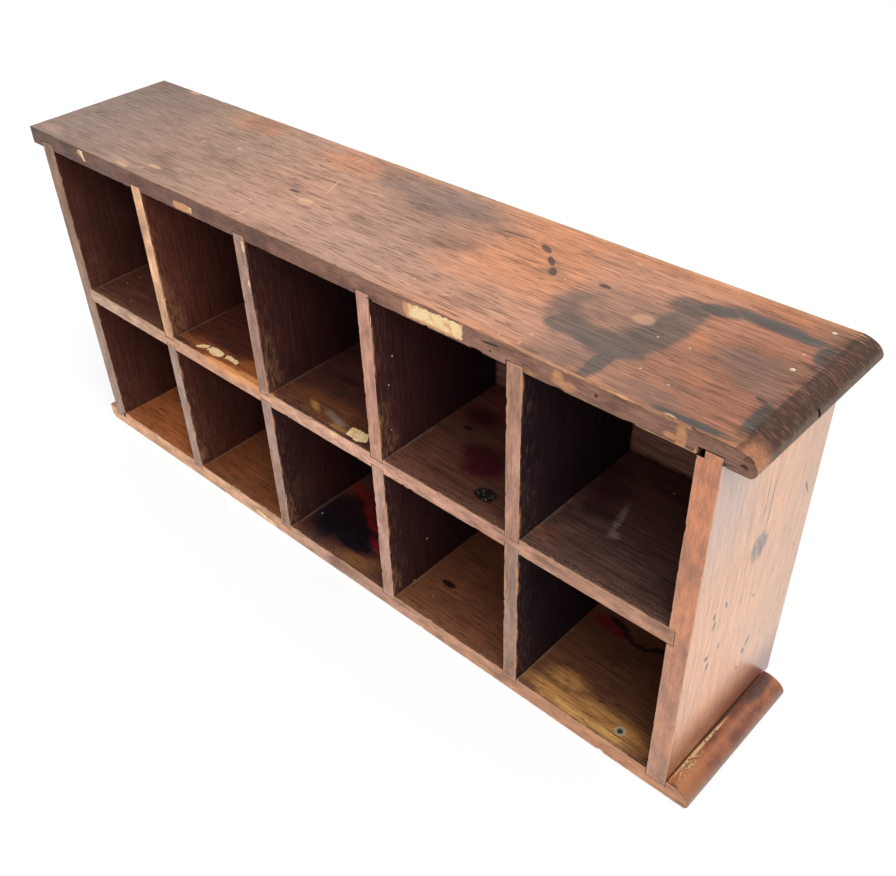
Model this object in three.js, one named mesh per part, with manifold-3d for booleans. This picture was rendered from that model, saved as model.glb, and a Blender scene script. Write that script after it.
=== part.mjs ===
// Open oak pigeonhole mail sorter: two rows of five pigeonholes between a long top, a shelf and a base.
// Millimetres, +Z up. The origin is the middle of the footprint on the floor, and the open front faces -Y.
import * as THREE from 'three';
import { mergeVertices } from 'three/addons/utils/BufferGeometryUtils.js';
import Module from 'manifold-3d';

// Pigeonholes
const COLUMNS = 5;
const OPENING_WIDTH = 101.3;
const LOWER_OPENING_HEIGHT = 113.3;
const UPPER_OPENING_HEIGHT = 116.2;

// Board thicknesses
const SIDE_THICKNESS = 13.6;
const DIVIDER_THICKNESS = 10.6;
const BASE_THICKNESS = 13.2;
const SHELF_THICKNESS = 11.5;
const TOP_THICKNESS = 12.8;
const BACK_THICKNESS = 7.2;

// Depths, front to back: all boards start at one front plane
const INNER_DEPTH = 110.5;
const GAP_BEFORE_BACK = 2.5;
const TOP_BACK_OVERHANG = 1.5;

// How far the top and base run past the outer faces of the sides
const TOP_LEFT_OVERHANG = 13;
const TOP_RIGHT_OVERHANG = 16.5;
const BASE_LEFT_OVERHANG = 9.8;
const BASE_RIGHT_OVERHANG = 16.5;

// Rounded nosing on the right end of the top and base, and the eased lower arris on their left end
const NOSE_REACH = 15;
const NOSE_UNDER_REACH = 4.5;
const NOSE_UNDER_RISE = 4;
const EASED_RADIUS = 2.2;
const CURVE_SEGMENTS = 10;

// Joints: how deep each board is let into its neighbour, and the play left in every cut
const SIDE_HOUSING = 4.6;
const SHELF_HOUSING = 4;
const DIVIDER_HOUSING = 3;
const BACK_REBATE = 5;
const BACK_FLOOR_CLEARANCE = 1;
const FIT = 0.3;

// Two side tongues were sawn too thin, so a square gap shows in the front of their housings
const RIGHT_TOP_TONGUE_GAP = 4.3;
const LEFT_BOTTOM_TONGUE_GAP = 3;

// Nails with sunk heads. Those in the top are placed from the back edge of the sides.
const NAIL_RADIUS = 0.9;
const NAIL_HEAD_RADIUS = 1.6;
const NAIL_HEAD_HEIGHT = 1;
const NAIL_POINT = 3;
const NAIL_SUNK = 0.6;
const CASE_NAIL_LENGTH = 26;
const BACK_NAIL_LENGTH = 18;
const TOP_LEFT_NAILS_FROM_BACK = [73.5, 46.5, 9.5];
const TOP_RIGHT_NAILS_FROM_BACK = [49.5, 7.5];
const BASE_NAIL_FROM_FRONT = 30;
const BASE_NAIL_FROM_BACK = 28;
const BACK_NAIL_ABOVE_BASE = 32;
const BACK_NAIL_UNDER_SHELF = 8;
const BACK_NAIL_UNDER_TOP = 39;
const BACK_NAIL_COLUMNS = [1, 3, 5];
const ROUND_SEGMENTS = 16;

// Countersunk screw in the floor of the last lower pigeonhole
const SCREW_FROM_RIGHT_SIDE = 27.3;
const SCREW_FROM_FRONT = 12;
const SCREW_HEAD_RADIUS = 3.6;
const SCREW_HEAD_HEIGHT = 2.2;
const SCREW_RADIUS = 1.7;
const SCREW_TIP_CLEARANCE = 0.8;
const SCREW_SUNK = 0.15;
const SCREW_RECESS = { length: 3.8, width: 0.9, depth: 1.5 };

// How far a cutter runs past the face that it opens
const CUT_PAST = 2;

// Places worked out from the sizes above
const BASE_DEPTH = INNER_DEPTH + GAP_BEFORE_BACK;
const SIDE_DEPTH = BASE_DEPTH + FIT + BACK_THICKNESS;
const TOP_DEPTH = SIDE_DEPTH + TOP_BACK_OVERHANG;
const CASE_WIDTH = 2 * SIDE_THICKNESS + COLUMNS * OPENING_WIDTH + (COLUMNS - 1) * DIVIDER_THICKNESS;
const TOTAL_LENGTH = TOP_LEFT_OVERHANG + CASE_WIDTH + TOP_RIGHT_OVERHANG;
const CASE_LEFT = -TOTAL_LENGTH / 2 + TOP_LEFT_OVERHANG;
const CASE_RIGHT = CASE_LEFT + CASE_WIDTH;
const LEFT_INNER = CASE_LEFT + SIDE_THICKNESS;
const RIGHT_INNER = CASE_RIGHT - SIDE_THICKNESS;
const FRONT = -TOP_DEPTH / 2;
const SIDE_BACK = FRONT + SIDE_DEPTH;
const BASE_BACK = FRONT + BASE_DEPTH;
const INNER_BACK = FRONT + INNER_DEPTH;
const PANEL_FRONT = BASE_BACK + FIT;
const BASE_TOP = BASE_THICKNESS;
const SHELF_BOTTOM = BASE_TOP + LOWER_OPENING_HEIGHT;
const SHELF_TOP = SHELF_BOTTOM + SHELF_THICKNESS;
const TOP_UNDERSIDE = SHELF_TOP + UPPER_OPENING_HEIGHT;
const TOP_SURFACE = TOP_UNDERSIDE + TOP_THICKNESS;
const THROUGH_DEPTH = [FRONT - CUT_PAST, FRONT + TOP_DEPTH + CUT_PAST];
const DIVIDER_DEPTH = [FRONT - CUT_PAST, INNER_BACK + FIT];
const UP = new THREE.Vector3(0, 0, 1);
const DOWN = new THREE.Vector3(0, 0, -1);
const FORWARD = new THREE.Vector3(0, -1, 0);

const wasm = await Module();
wasm.setup();

// Closed body for cutting and joining, from a geometry with shared corners
function body(geometry) {
  geometry.deleteAttribute('normal');
  geometry.deleteAttribute('uv');
  const welded = mergeVertices(geometry, 1e-4);
  const vertProperties = new Float32Array(welded.attributes.position.array);
  const triVerts = new Uint32Array(welded.index.array);
  return new wasm.Manifold(new wasm.Mesh({ numProp: 3, vertProperties, triVerts }));
}

// Square-cut block between two limits on each axis
function block([x0, x1], [y0, y1], [z0, z1]) {
  const geometry = new THREE.BoxGeometry(x1 - x0, y1 - y0, z1 - z0);
  geometry.translate((x0 + x1) / 2, (y0 + y1) / 2, (z0 + z1) / 2);
  return body(geometry);
}

// Round rod or cone from a start point along a direction
function rod(start, direction, length, startRadius, endRadius = startRadius) {
  const geometry = new THREE.CylinderGeometry(endRadius, startRadius, length, ROUND_SEGMENTS);
  geometry.translate(0, length / 2, 0);
  const turn = new THREE.Quaternion().setFromUnitVectors(new THREE.Vector3(0, 1, 0), direction);
  geometry.applyQuaternion(turn);
  geometry.translate(start.x, start.y, start.z);
  return body(geometry);
}

// Long board with a rounded nosing on its right end and a square left end.
// Its outline is drawn as seen from the front and then run back to the board's depth.
function nosedBoard([left, right], bottom, thickness, depth) {
  const noseMiddle = bottom + NOSE_UNDER_RISE;
  const top = bottom + thickness;
  const underStart = right - NOSE_UNDER_REACH;
  const easedX = left + EASED_RADIUS;
  const easedZ = bottom + EASED_RADIUS;
  const quarter = Math.PI / 2;
  const shape = new THREE.Shape();
  shape.moveTo(easedX, bottom);
  shape.lineTo(underStart, bottom);
  shape.absellipse(underStart, noseMiddle, NOSE_UNDER_REACH, NOSE_UNDER_RISE, -quarter, 0, false);
  shape.absellipse(right - NOSE_REACH, noseMiddle, NOSE_REACH, top - noseMiddle, 0, quarter, false);
  shape.lineTo(left, top);
  shape.lineTo(left, easedZ);
  shape.absellipse(easedX, easedZ, EASED_RADIUS, EASED_RADIUS, 2 * quarter, 3 * quarter, false);
  const settings = { depth, bevelEnabled: false, curveSegments: CURVE_SEGMENTS };
  const geometry = new THREE.ExtrudeGeometry(shape, settings);
  geometry.rotateX(Math.PI / 2);
  geometry.translate(0, FRONT + depth, 0);
  return body(geometry);
}

// Limits across one upright divider, counted from the left
function dividerSpan(index) {
  const left = LEFT_INNER + index * OPENING_WIDTH + (index - 1) * DIVIDER_THICKNESS;
  return [left, left + DIVIDER_THICKNESS];
}

const loosened = ([low, high]) => [low - FIT, high + FIT];
const middle = ([low, high]) => (low + high) / 2;
const dividerSpans = Array.from({ length: COLUMNS - 1 }, (_, index) => dividerSpan(index + 1));
const leftSpan = [CASE_LEFT, LEFT_INNER];
const rightSpan = [RIGHT_INNER, CASE_RIGHT];

// Housings in one face of a lying board, open at the front, for uprights that stand in it
function housings(spans, alongDepth, faceHeight, depth, intoBoard) {
  const open = faceHeight - intoBoard * CUT_PAST;
  const floor = faceHeight + intoBoard * (depth + FIT);
  const heights = [Math.min(open, floor), Math.max(open, floor)];
  return spans.map((span) => block(loosened(span), alongDepth, heights));
}

// Nail driven from a place on a surface, its head sunk a little.
// Its hole is the same shape, loosened and open to the surface.
function nailParts(surface, direction, length) {
  const head = surface.clone().addScaledVector(direction, NAIL_SUNK);
  const pointStart = head.clone().addScaledVector(direction, length - NAIL_POINT);
  const nail = rod(head, direction, NAIL_HEAD_HEIGHT, NAIL_HEAD_RADIUS)
    .add(rod(head, direction, length - NAIL_POINT, NAIL_RADIUS))
    .add(rod(pointStart, direction, NAIL_POINT, NAIL_RADIUS, NAIL_RADIUS / 4));
  const outside = surface.clone().addScaledVector(direction, -CUT_PAST);
  const headHole = CUT_PAST + NAIL_SUNK + NAIL_HEAD_HEIGHT + FIT;
  const hole = rod(outside, direction, headHole, NAIL_HEAD_RADIUS + FIT)
    .add(rod(outside, direction, CUT_PAST + NAIL_SUNK + length + FIT, NAIL_RADIUS + FIT));
  return { nail, hole };
}

// Countersunk screw with a crossed recess, and its hole right through the base
function screwParts(surface) {
  const head = surface.clone().addScaledVector(DOWN, SCREW_SUNK);
  const screwLength = BASE_THICKNESS - SCREW_SUNK - SCREW_TIP_CLEARANCE;
  const { length, width, depth } = SCREW_RECESS;
  const recessHeights = [head.z - depth, head.z + CUT_PAST];
  const about = (centre, size) => [centre - size / 2, centre + size / 2];
  const screw = rod(head, DOWN, SCREW_HEAD_HEIGHT, SCREW_HEAD_RADIUS, SCREW_RADIUS)
    .add(rod(head, DOWN, screwLength, SCREW_RADIUS))
    .subtract(block(about(head.x, length), about(head.y, width), recessHeights))
    .subtract(block(about(head.x, width), about(head.y, length), recessHeights));
  const hole = rod(head, DOWN, SCREW_HEAD_HEIGHT + FIT, SCREW_HEAD_RADIUS + FIT, SCREW_RADIUS + FIT)
    .add(rod(head, UP, CUT_PAST, SCREW_HEAD_RADIUS + FIT))
    .add(rod(head, DOWN, BASE_THICKNESS + CUT_PAST, SCREW_RADIUS + FIT));
  return { screw, hole };
}

// Upright side with tongues for the top and base, a housing for the shelf and a rebate for the back
function sideBoard(span, inner, inward) {
  const cutFromInside = (depth) => [inner - inward * depth, inner + inward * CUT_PAST].sort((a, b) => a - b);
  const heights = [BASE_TOP - SIDE_HOUSING, TOP_UNDERSIDE + SIDE_HOUSING];
  const shelfHousing = block(
    cutFromInside(SHELF_HOUSING + FIT), THROUGH_DEPTH, loosened([SHELF_BOTTOM, SHELF_TOP]),
  );
  const backRebate = block(
    cutFromInside(BACK_REBATE), [BASE_BACK, THROUGH_DEPTH[1]], [-CUT_PAST, TOP_SURFACE + CUT_PAST],
  );
  return block(span, [FRONT, SIDE_BACK], heights).subtract(shelfHousing).subtract(backRebate);
}

const cutAll = (board, cutters) => cutters.reduce((rest, cutter) => rest.subtract(cutter), board);
const sideMiddles = { left: middle(leftSpan), right: middle(rightSpan) };

// Fixings, each with the hole it makes in the boards it passes through
const topNails = [
  ...TOP_LEFT_NAILS_FROM_BACK.map((fromBack) => ({ side: 'left', fromBack })),
  ...TOP_RIGHT_NAILS_FROM_BACK.map((fromBack) => ({ side: 'right', fromBack })),
].map(({ side, fromBack }) => {
  const place = new THREE.Vector3(sideMiddles[side], SIDE_BACK - fromBack, TOP_SURFACE);
  return { side, ...nailParts(place, DOWN, CASE_NAIL_LENGTH) };
});
const baseNailPlaces = [FRONT + BASE_NAIL_FROM_FRONT, BASE_BACK - BASE_NAIL_FROM_BACK];
const baseNails = ['left', 'right'].flatMap((side) => baseNailPlaces.map((y) => ({
  side,
  ...nailParts(new THREE.Vector3(sideMiddles[side], y, 0), UP, CASE_NAIL_LENGTH),
})));
const panelBack = PANEL_FRONT + BACK_THICKNESS;
const rebateMiddles = { left: LEFT_INNER - BACK_REBATE / 2, right: RIGHT_INNER + BACK_REBATE / 2 };
const backNailHeights = [
  BASE_TOP + BACK_NAIL_ABOVE_BASE, SHELF_BOTTOM - BACK_NAIL_UNDER_SHELF, TOP_UNDERSIDE - BACK_NAIL_UNDER_TOP,
];
const backSideNails = ['left', 'right'].flatMap((side) => backNailHeights.map((height) => ({
  side,
  ...nailParts(new THREE.Vector3(rebateMiddles[side], panelBack, height), FORWARD, BACK_NAIL_LENGTH),
})));
const backBaseNails = BACK_NAIL_COLUMNS.map((column) => {
  const x = LEFT_INNER + (column - 0.5) * OPENING_WIDTH + (column - 1) * DIVIDER_THICKNESS;
  const place = new THREE.Vector3(x, panelBack, BASE_TOP / 2);
  return { side: 'base', ...nailParts(place, FORWARD, BACK_NAIL_LENGTH) };
});
const backNails = [...backSideNails, ...backBaseNails];
const screwPlace = new THREE.Vector3(RIGHT_INNER - SCREW_FROM_RIGHT_SIDE, FRONT + SCREW_FROM_FRONT, BASE_TOP);
const baseScrew = screwParts(screwPlace);
const holesOf = (nails, side) => nails.filter((nail) => nail.side === side).map((nail) => nail.hole);

// Lying boards
const topSpan = [CASE_LEFT - TOP_LEFT_OVERHANG, CASE_RIGHT + TOP_RIGHT_OVERHANG];
const top = cutAll(
  nosedBoard(topSpan, TOP_UNDERSIDE, TOP_THICKNESS, TOP_DEPTH),
  [
    ...housings([leftSpan, rightSpan], THROUGH_DEPTH, TOP_UNDERSIDE, SIDE_HOUSING, 1),
    ...housings(dividerSpans, DIVIDER_DEPTH, TOP_UNDERSIDE, DIVIDER_HOUSING, 1),
    ...topNails.map((nail) => nail.hole),
  ],
);
const baseSpan = [CASE_LEFT - BASE_LEFT_OVERHANG, CASE_RIGHT + BASE_RIGHT_OVERHANG];
const base = cutAll(
  nosedBoard(baseSpan, 0, BASE_THICKNESS, BASE_DEPTH),
  [
    ...housings([leftSpan, rightSpan], THROUGH_DEPTH, BASE_TOP, SIDE_HOUSING, -1),
    ...housings(dividerSpans, DIVIDER_DEPTH, BASE_TOP, DIVIDER_HOUSING, -1),
    ...baseNails.map((nail) => nail.hole),
    ...holesOf(backNails, 'base'),
    baseScrew.hole,
  ],
);
const shelfSpan = [LEFT_INNER - SHELF_HOUSING, RIGHT_INNER + SHELF_HOUSING];
const shelf = cutAll(
  block(shelfSpan, [FRONT, INNER_BACK], [SHELF_BOTTOM, SHELF_TOP]),
  [
    ...housings(dividerSpans, DIVIDER_DEPTH, SHELF_TOP, DIVIDER_HOUSING, -1),
    ...housings(dividerSpans, DIVIDER_DEPTH, SHELF_BOTTOM, DIVIDER_HOUSING, 1),
  ],
);

// Upright boards
const leftTongueGap = block(
  [LEFT_INNER - LEFT_BOTTOM_TONGUE_GAP, LEFT_INNER + CUT_PAST], THROUGH_DEPTH, [-CUT_PAST, BASE_TOP],
);
const rightTongueGap = block(
  [RIGHT_INNER - CUT_PAST, RIGHT_INNER + RIGHT_TOP_TONGUE_GAP], THROUGH_DEPTH, [TOP_UNDERSIDE, TOP_SURFACE],
);
const sideHoles = (side) => [topNails, baseNails, backNails].flatMap((nails) => holesOf(nails, side));
const leftSide = cutAll(sideBoard(leftSpan, LEFT_INNER, 1), [leftTongueGap, ...sideHoles('left')]);
const rightSide = cutAll(sideBoard(rightSpan, RIGHT_INNER, -1), [rightTongueGap, ...sideHoles('right')]);
const panelSpan = [LEFT_INNER - BACK_REBATE + FIT, RIGHT_INNER + BACK_REBATE - FIT];
const backPanel = cutAll(
  block(panelSpan, [PANEL_FRONT, panelBack], [BACK_FLOOR_CLEARANCE, TOP_UNDERSIDE - FIT]),
  backNails.map((nail) => nail.hole),
);

// Upright divider between two lying boards, let into both
function divider(span, floor, ceiling) {
  return block(span, [FRONT, INNER_BACK], [floor - DIVIDER_HOUSING, ceiling + DIVIDER_HOUSING]);
}

const OAK_CASE = { color: 0x6a4a35, roughness: 0.6, metalness: 0 };
const OAK_INNER = { color: 0x4a3324, roughness: 0.75, metalness: 0 };
const OAK_BACK = { color: 0x5a4030, roughness: 0.8, metalness: 0 };
const IRON = { color: 0x4b4743, roughness: 0.6, metalness: 0.8 };
const STEEL = { color: 0x9a978f, roughness: 0.4, metalness: 0.9 };

const sorter = new THREE.Group();
sorter.name = 'pigeonhole_mail_sorter';

// One named piece of the assembly
function addPiece(name, shape, look) {
  const { vertProperties, triVerts } = shape.getMesh();
  const geometry = new THREE.BufferGeometry();
  geometry.setAttribute('position', new THREE.BufferAttribute(new Float32Array(vertProperties), 3));
  geometry.setIndex(new THREE.BufferAttribute(new Uint32Array(triVerts), 1));
  geometry.computeVertexNormals();
  const mesh = new THREE.Mesh(geometry, new THREE.MeshStandardMaterial(look));
  mesh.name = name;
  sorter.add(mesh);
}

addPiece('top_board', top, OAK_CASE);
addPiece('base_board', base, OAK_CASE);
addPiece('side_left', leftSide, OAK_CASE);
addPiece('side_right', rightSide, OAK_CASE);
addPiece('shelf', shelf, OAK_INNER);
dividerSpans.forEach((span, index) => {
  addPiece(`divider_upper_${index + 1}`, divider(span, SHELF_TOP, TOP_UNDERSIDE), OAK_INNER);
  addPiece(`divider_lower_${index + 1}`, divider(span, BASE_TOP, SHELF_BOTTOM), OAK_INNER);
});
addPiece('back_panel', backPanel, OAK_BACK);
topNails.forEach(({ nail }, index) => addPiece(`nail_top_${index + 1}`, nail, IRON));
baseNails.forEach(({ nail }, index) => addPiece(`nail_base_${index + 1}`, nail, IRON));
backNails.forEach(({ nail }, index) => addPiece(`nail_back_${index + 1}`, nail, IRON));
addPiece('screw_base', baseScrew.screw, STEEL);

export default sorter;
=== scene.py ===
# %% [markdown]
# # An oak pigeonhole mail sorter
# The sorter is a long open case: two rows of five pigeonholes between a top, a shelf and a base.
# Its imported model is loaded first, as a fixed frame. Every piece below is made in that frame, so
# nothing has to be fitted by eye: a board takes its corners from the solid that it stands for.

# %% Load the frame
import math
import random
import bmesh
import bpy
from mathutils import Euler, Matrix, Vector, noise as fixed_noise


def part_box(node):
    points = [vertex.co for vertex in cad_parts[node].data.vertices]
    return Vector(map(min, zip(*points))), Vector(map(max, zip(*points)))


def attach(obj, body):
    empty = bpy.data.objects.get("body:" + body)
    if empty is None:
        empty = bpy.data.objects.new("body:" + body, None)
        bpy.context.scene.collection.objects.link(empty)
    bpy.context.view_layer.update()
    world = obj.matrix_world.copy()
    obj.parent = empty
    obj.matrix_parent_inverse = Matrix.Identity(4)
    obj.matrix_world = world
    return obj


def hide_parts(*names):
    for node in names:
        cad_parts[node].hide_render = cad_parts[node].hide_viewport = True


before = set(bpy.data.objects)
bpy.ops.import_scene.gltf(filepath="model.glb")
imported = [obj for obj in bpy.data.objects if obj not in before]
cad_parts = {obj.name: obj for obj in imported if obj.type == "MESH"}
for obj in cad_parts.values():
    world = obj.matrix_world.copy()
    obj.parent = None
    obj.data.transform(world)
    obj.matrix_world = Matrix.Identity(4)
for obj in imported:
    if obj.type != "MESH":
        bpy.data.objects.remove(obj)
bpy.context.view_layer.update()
MM = 0.001

# %% [markdown]
# ## Camera
# The sorter is seen from above its right front corner, from about three quarters of a metre.
# The lens and the place come from the vanishing points of the long edges. The small shift keeps
# the optical axis where it is in the picture, which is a little left of and below its middle.

# %% Camera
CAMERA_PLACE = (0.44617, -0.40366, 0.55405)
CAMERA_TURN = (50.551, 2.178, 43.395)
CAMERA_SHIFT = (0.0215, 0.0328)
LENS = 42.01
SENSOR = 36.0
NEAREST_SEEN = 0.01
camera_data = bpy.data.cameras.new("camera")
camera_data.lens = LENS
camera_data.sensor_width = SENSOR
camera_data.shift_x, camera_data.shift_y = CAMERA_SHIFT
camera_data.clip_start = NEAREST_SEEN
camera = bpy.data.objects.new("camera", camera_data)
camera.location = CAMERA_PLACE
camera.rotation_euler = Euler([math.radians(angle) for angle in CAMERA_TURN], "XYZ")
bpy.context.scene.collection.objects.link(camera)
bpy.context.scene.camera = camera
bpy.context.scene.view_settings.view_transform = "Standard"
print("camera stands", round(camera.location.length, 3), "m from the middle of the footprint")

# %% [markdown]
# ## Writing sums with nodes
# The boards and their finishes are both made with nodes, and both need many small sums.
# A node for each plus and times sign is slow to read, so a Wire stands for one node output and
# can be added, multiplied and compared like a number. Each sign adds one Math node to the tree.

# %% Wires
class Wire:
    """One output of a node, which can be used in sums like a number."""

    def __init__(self, socket):
        self.socket = socket
        self.tree = socket.id_data

    def math(self, operation, *others, clamp=False):
        made = self.tree.nodes.new("ShaderNodeMath")
        made.operation = operation
        made.use_clamp = clamp
        for socket, value in zip(made.inputs, (self, *others)):
            plug(socket, value)
        return Wire(made.outputs[0])

    def __add__(self, other):
        return self.math("ADD", other)

    def __sub__(self, other):
        return self.math("SUBTRACT", other)

    def __rsub__(self, other):
        return (self * -1.0) + other

    def __mul__(self, other):
        return self.math("MULTIPLY", other)

    def __truediv__(self, other):
        return self.math("DIVIDE", other)

    def __pow__(self, other):
        return self.math("POWER", other)

    def over(self, other):
        return self.math("MAXIMUM", other)

    def under(self, other):
        return self.math("MINIMUM", other)

    def clamped(self):
        return self.math("ADD", 0.0, clamp=True)

    __radd__ = __add__
    __rmul__ = __mul__


def plug(socket, value):
    """Links a wire to a socket, or writes a plain value in it."""
    if isinstance(value, Wire):
        value.tree.links.new(value.socket, socket)
    else:
        socket.default_value = value


def add_node(tree, kind, inputs=None, **settings):
    made = tree.nodes.new(kind)
    for name, value in settings.items():
        setattr(made, name, value)
    for key, value in (inputs or {}).items():
        plug(made.inputs[key], value)
    return made


def wire_node(tree, kind, inputs=None, output=0, **settings):
    """Adds a node and gives one of its outputs as a wire."""
    return Wire(add_node(tree, kind, inputs, **settings).outputs[output])


def join(x, y, z):
    tree = next(value.tree for value in (x, y, z) if isinstance(value, Wire))
    return wire_node(tree, "ShaderNodeCombineXYZ", {0: x, 1: y, 2: z})


def split(vector):
    made = add_node(vector.tree, "ShaderNodeSeparateXYZ", {0: vector})
    return [Wire(output) for output in made.outputs]


def noise(place, detail=2.0, roughness=0.5):
    """Soft random value from 0 to 1 with features about one unit across."""
    vector = join(*place)
    inputs = {"Vector": vector, "Scale": 1.0, "Detail": detail, "Roughness": roughness}
    return wire_node(vector.tree, "ShaderNodeTexNoise", inputs)


def step(value, low, high):
    """0 below low and 1 above high, with a soft change between them."""
    inputs = {"Value": value, "From Min": low, "From Max": high}
    return wire_node(value.tree, "ShaderNodeMapRange", inputs, interpolation_type="SMOOTHSTEP")


print("wires are ready")

# %% [markdown]
# ## Worn boards
# Each board was once a planed oak box, and years of use rounded and chipped its arrises. That is
# a rule, so one Geometry Nodes tree makes them all. A cube with many rows of vertices is spread
# out to the board's corners, with the rows close together near the arrises. Each point is then
# pulled back to a rounded arris whose radius wanders, and is chipped where a finer noise is high.
# A Bevel modifier could round the arrises too, but evenly, and an even arris looks new.

# %% Tree for a worn board
BOARD_INPUTS = {
    "Low corner": "NodeSocketVector",
    "High corner": "NodeSocketVector",
    "Rows X": "NodeSocketInt",
    "Rows Y": "NodeSocketInt",
    "Rows Z": "NodeSocketInt",
    "Arris radius": "NodeSocketFloat",
    "Chip depth": "NodeSocketFloat",
    "Hollows": "NodeSocketFloat",
    "Seed": "NodeSocketFloat",
    "Nose": "NodeSocketFloat",
    "Has cuts": "NodeSocketBool",
    "Cutter": "NodeSocketObject",
    "Finish": "NodeSocketMaterial",
}
EDGE_ROWS = 4
EDGE_BAND = 3.0
EDGE_CROWDING = 1.6
NOSE_REACH = 15.0
NOSE_UNDER_REACH = 4.5
NOSE_UNDER_RISE = 4.0
NOSE_BLEND = 40.0
SEED_SPREAD = 37.0
WANDER_SIZE = 26.0
CHIP_SIZE = 5.5
HOLLOW_SIZE = 45.0


def start_tree(name, inputs, output):
    tree = bpy.data.node_groups.new(name, "GeometryNodeTree")
    tree.is_modifier = True
    for label, kind in inputs.items():
        tree.interface.new_socket(label, in_out="INPUT", socket_type=kind)
    tree.interface.new_socket(output, in_out="OUTPUT", socket_type="NodeSocketGeometry")
    group_input = tree.nodes.new("NodeGroupInput")
    return tree, {label: Wire(group_input.outputs[label]) for label in inputs}


def end_tree(geometry, finish):
    """Closes a tree with Realize Instances and Set Material."""
    tree = geometry.tree
    realized = wire_node(tree, "GeometryNodeRealizeInstances", {0: geometry})
    smooth = wire_node(tree, "GeometryNodeSetShadeSmooth", {0: realized})
    painted = wire_node(tree, "GeometryNodeSetMaterial", {0: smooth, "Material": finish})
    plug(tree.nodes.new("NodeGroupOutput").inputs[0], painted)


def spread_rows(share, rows, low, high):
    """Place along one axis: rows crowd near both arrises and stand evenly between them."""
    last = rows - 1.0
    count = share * last
    near = (count.under(EDGE_ROWS) / EDGE_ROWS) ** EDGE_CROWDING
    far = ((last - count).under(EDGE_ROWS) / EDGE_ROWS) ** EDGE_CROWDING
    middle = count.over(EDGE_ROWS).under(last - EDGE_ROWS) - EDGE_ROWS
    evenly = middle / (last - 2.0 * EDGE_ROWS) * (high - low - 2.0 * EDGE_BAND)
    return low + (near - far + 1.0) * EDGE_BAND + evenly


def nose_inset(z, low, high):
    """How far the rounded right end stands back at a height."""
    middle = low + NOSE_UNDER_RISE
    above = ((z - middle) / (high - middle)).clamped()
    below = ((middle - z) / NOSE_UNDER_RISE).clamped()
    upper = 1.0 - (1.0 - above * above).over(0.0) ** 0.5
    lower = 1.0 - (1.0 - below * below).over(0.0) ** 0.5
    return upper * NOSE_REACH + lower * NOSE_UNDER_REACH


def worn_board_tree():
    tree, given = start_tree("worn_board", BOARD_INPUTS, "Board")
    counts = {f"Vertices {axis}": given[f"Rows {axis}"] for axis in "XYZ"}
    cube = wire_node(tree, "GeometryNodeMeshCube", {"Size": (1.0, 1.0, 1.0), **counts})
    shares = split(wire_node(tree, "GeometryNodeInputPosition"))
    lows = split(given["Low corner"])
    highs = split(given["High corner"])
    places = [
        spread_rows(shares[i] + 0.5, given[f"Rows {'XYZ'[i]}"], lows[i], highs[i])
        for i in range(3)
    ]
    gaps = [(places[i] - lows[i]).under(highs[i] - places[i]) for i in range(3)]
    widest = gaps[0].over(gaps[1]).over(gaps[2])
    nearest = gaps[0].under(gaps[1]).under(gaps[2])
    from_arris = gaps[0] + gaps[1] + gaps[2] - widest - nearest
    marked = wire_node(tree, "GeometryNodeStoreNamedAttribute", {
        "Geometry": cube, "Name": "arris", "Value": from_arris,
    })
    shifted = [place + given["Seed"] * SEED_SPREAD for place in places]
    slow = noise([value / WANDER_SIZE for value in shifted], 1.0)
    quick = noise([value / CHIP_SIZE for value in shifted])
    radius = given["Arris radius"] * (slow * 1.5 + 0.2)
    radius = radius + step(quick, 0.6, 0.8) * given["Chip depth"]
    hollow = noise([value / HOLLOW_SIZE for value in shifted])
    inner = [places[i].over(lows[i] + radius).under(highs[i] - radius) for i in range(3)]
    out = [places[i] - inner[i] for i in range(3)]
    length = (out[0] * out[0] + out[1] * out[1] + out[2] * out[2]) ** 0.5
    scale = (radius - hollow * given["Hollows"]) / length
    x, y, z = [inner[i] + out[i] * scale for i in range(3)]
    share = ((x - highs[0]) / NOSE_BLEND + 1.0).clamped() * given["Nose"]
    x = x - share * nose_inset(z, lows[2], highs[2])
    board = wire_node(tree, "GeometryNodeSetPosition", {
        "Geometry": marked, "Position": join(x * MM, y * MM, z * MM),
    })
    cutter = wire_node(tree, "GeometryNodeObjectInfo", {"Object": given["Cutter"]}, "Geometry")
    cut = wire_node(
        tree, "GeometryNodeMeshBoolean", {"Mesh 1": board, "Mesh 2": cutter},
        operation="DIFFERENCE", solver="MANIFOLD",
    )
    chosen = wire_node(tree, "GeometryNodeSwitch", {
        "Switch": given["Has cuts"], "False": board, "True": cut,
    }, input_type="GEOMETRY")
    end_tree(chosen, given["Finish"])
    return tree


board_tree = worn_board_tree()
print("worn board tree has", len(board_tree.nodes), "nodes")

# %% [markdown]
# ## Running a tree
# A modifier's inputs are set by their socket identifiers, because a label may change. The result
# is then copied to a plain mesh, so nothing live is left on the finished piece. Edges sharper
# than forty degrees, such as the mouth of a cut, are marked sharp so that they shade crisply.

# %% From tree to plain mesh
SHARP_ANGLE = math.radians(40.0)


def link_object(name, mesh):
    made = bpy.data.objects.new(name, mesh)
    bpy.context.scene.collection.objects.link(made)
    return made


def run_tree(name, tree, inputs, start=None):
    """Object whose mesh is what the tree makes from these inputs."""
    made = link_object(name, start or bpy.data.meshes.new(name))
    modifier = made.modifiers.new("made", "NODES")
    modifier.node_group = tree
    for item in tree.interface.items_tree:
        if item.in_out == "INPUT" and item.name in inputs:
            modifier[item.identifier] = inputs[item.name]
    ready = made.evaluated_get(bpy.context.evaluated_depsgraph_get())
    mesh = bpy.data.meshes.new_from_object(ready)
    made.modifiers.remove(modifier)
    made.data = mesh
    mesh.name = name
    mesh.set_sharp_from_angle(angle=SHARP_ANGLE)
    return made


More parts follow.
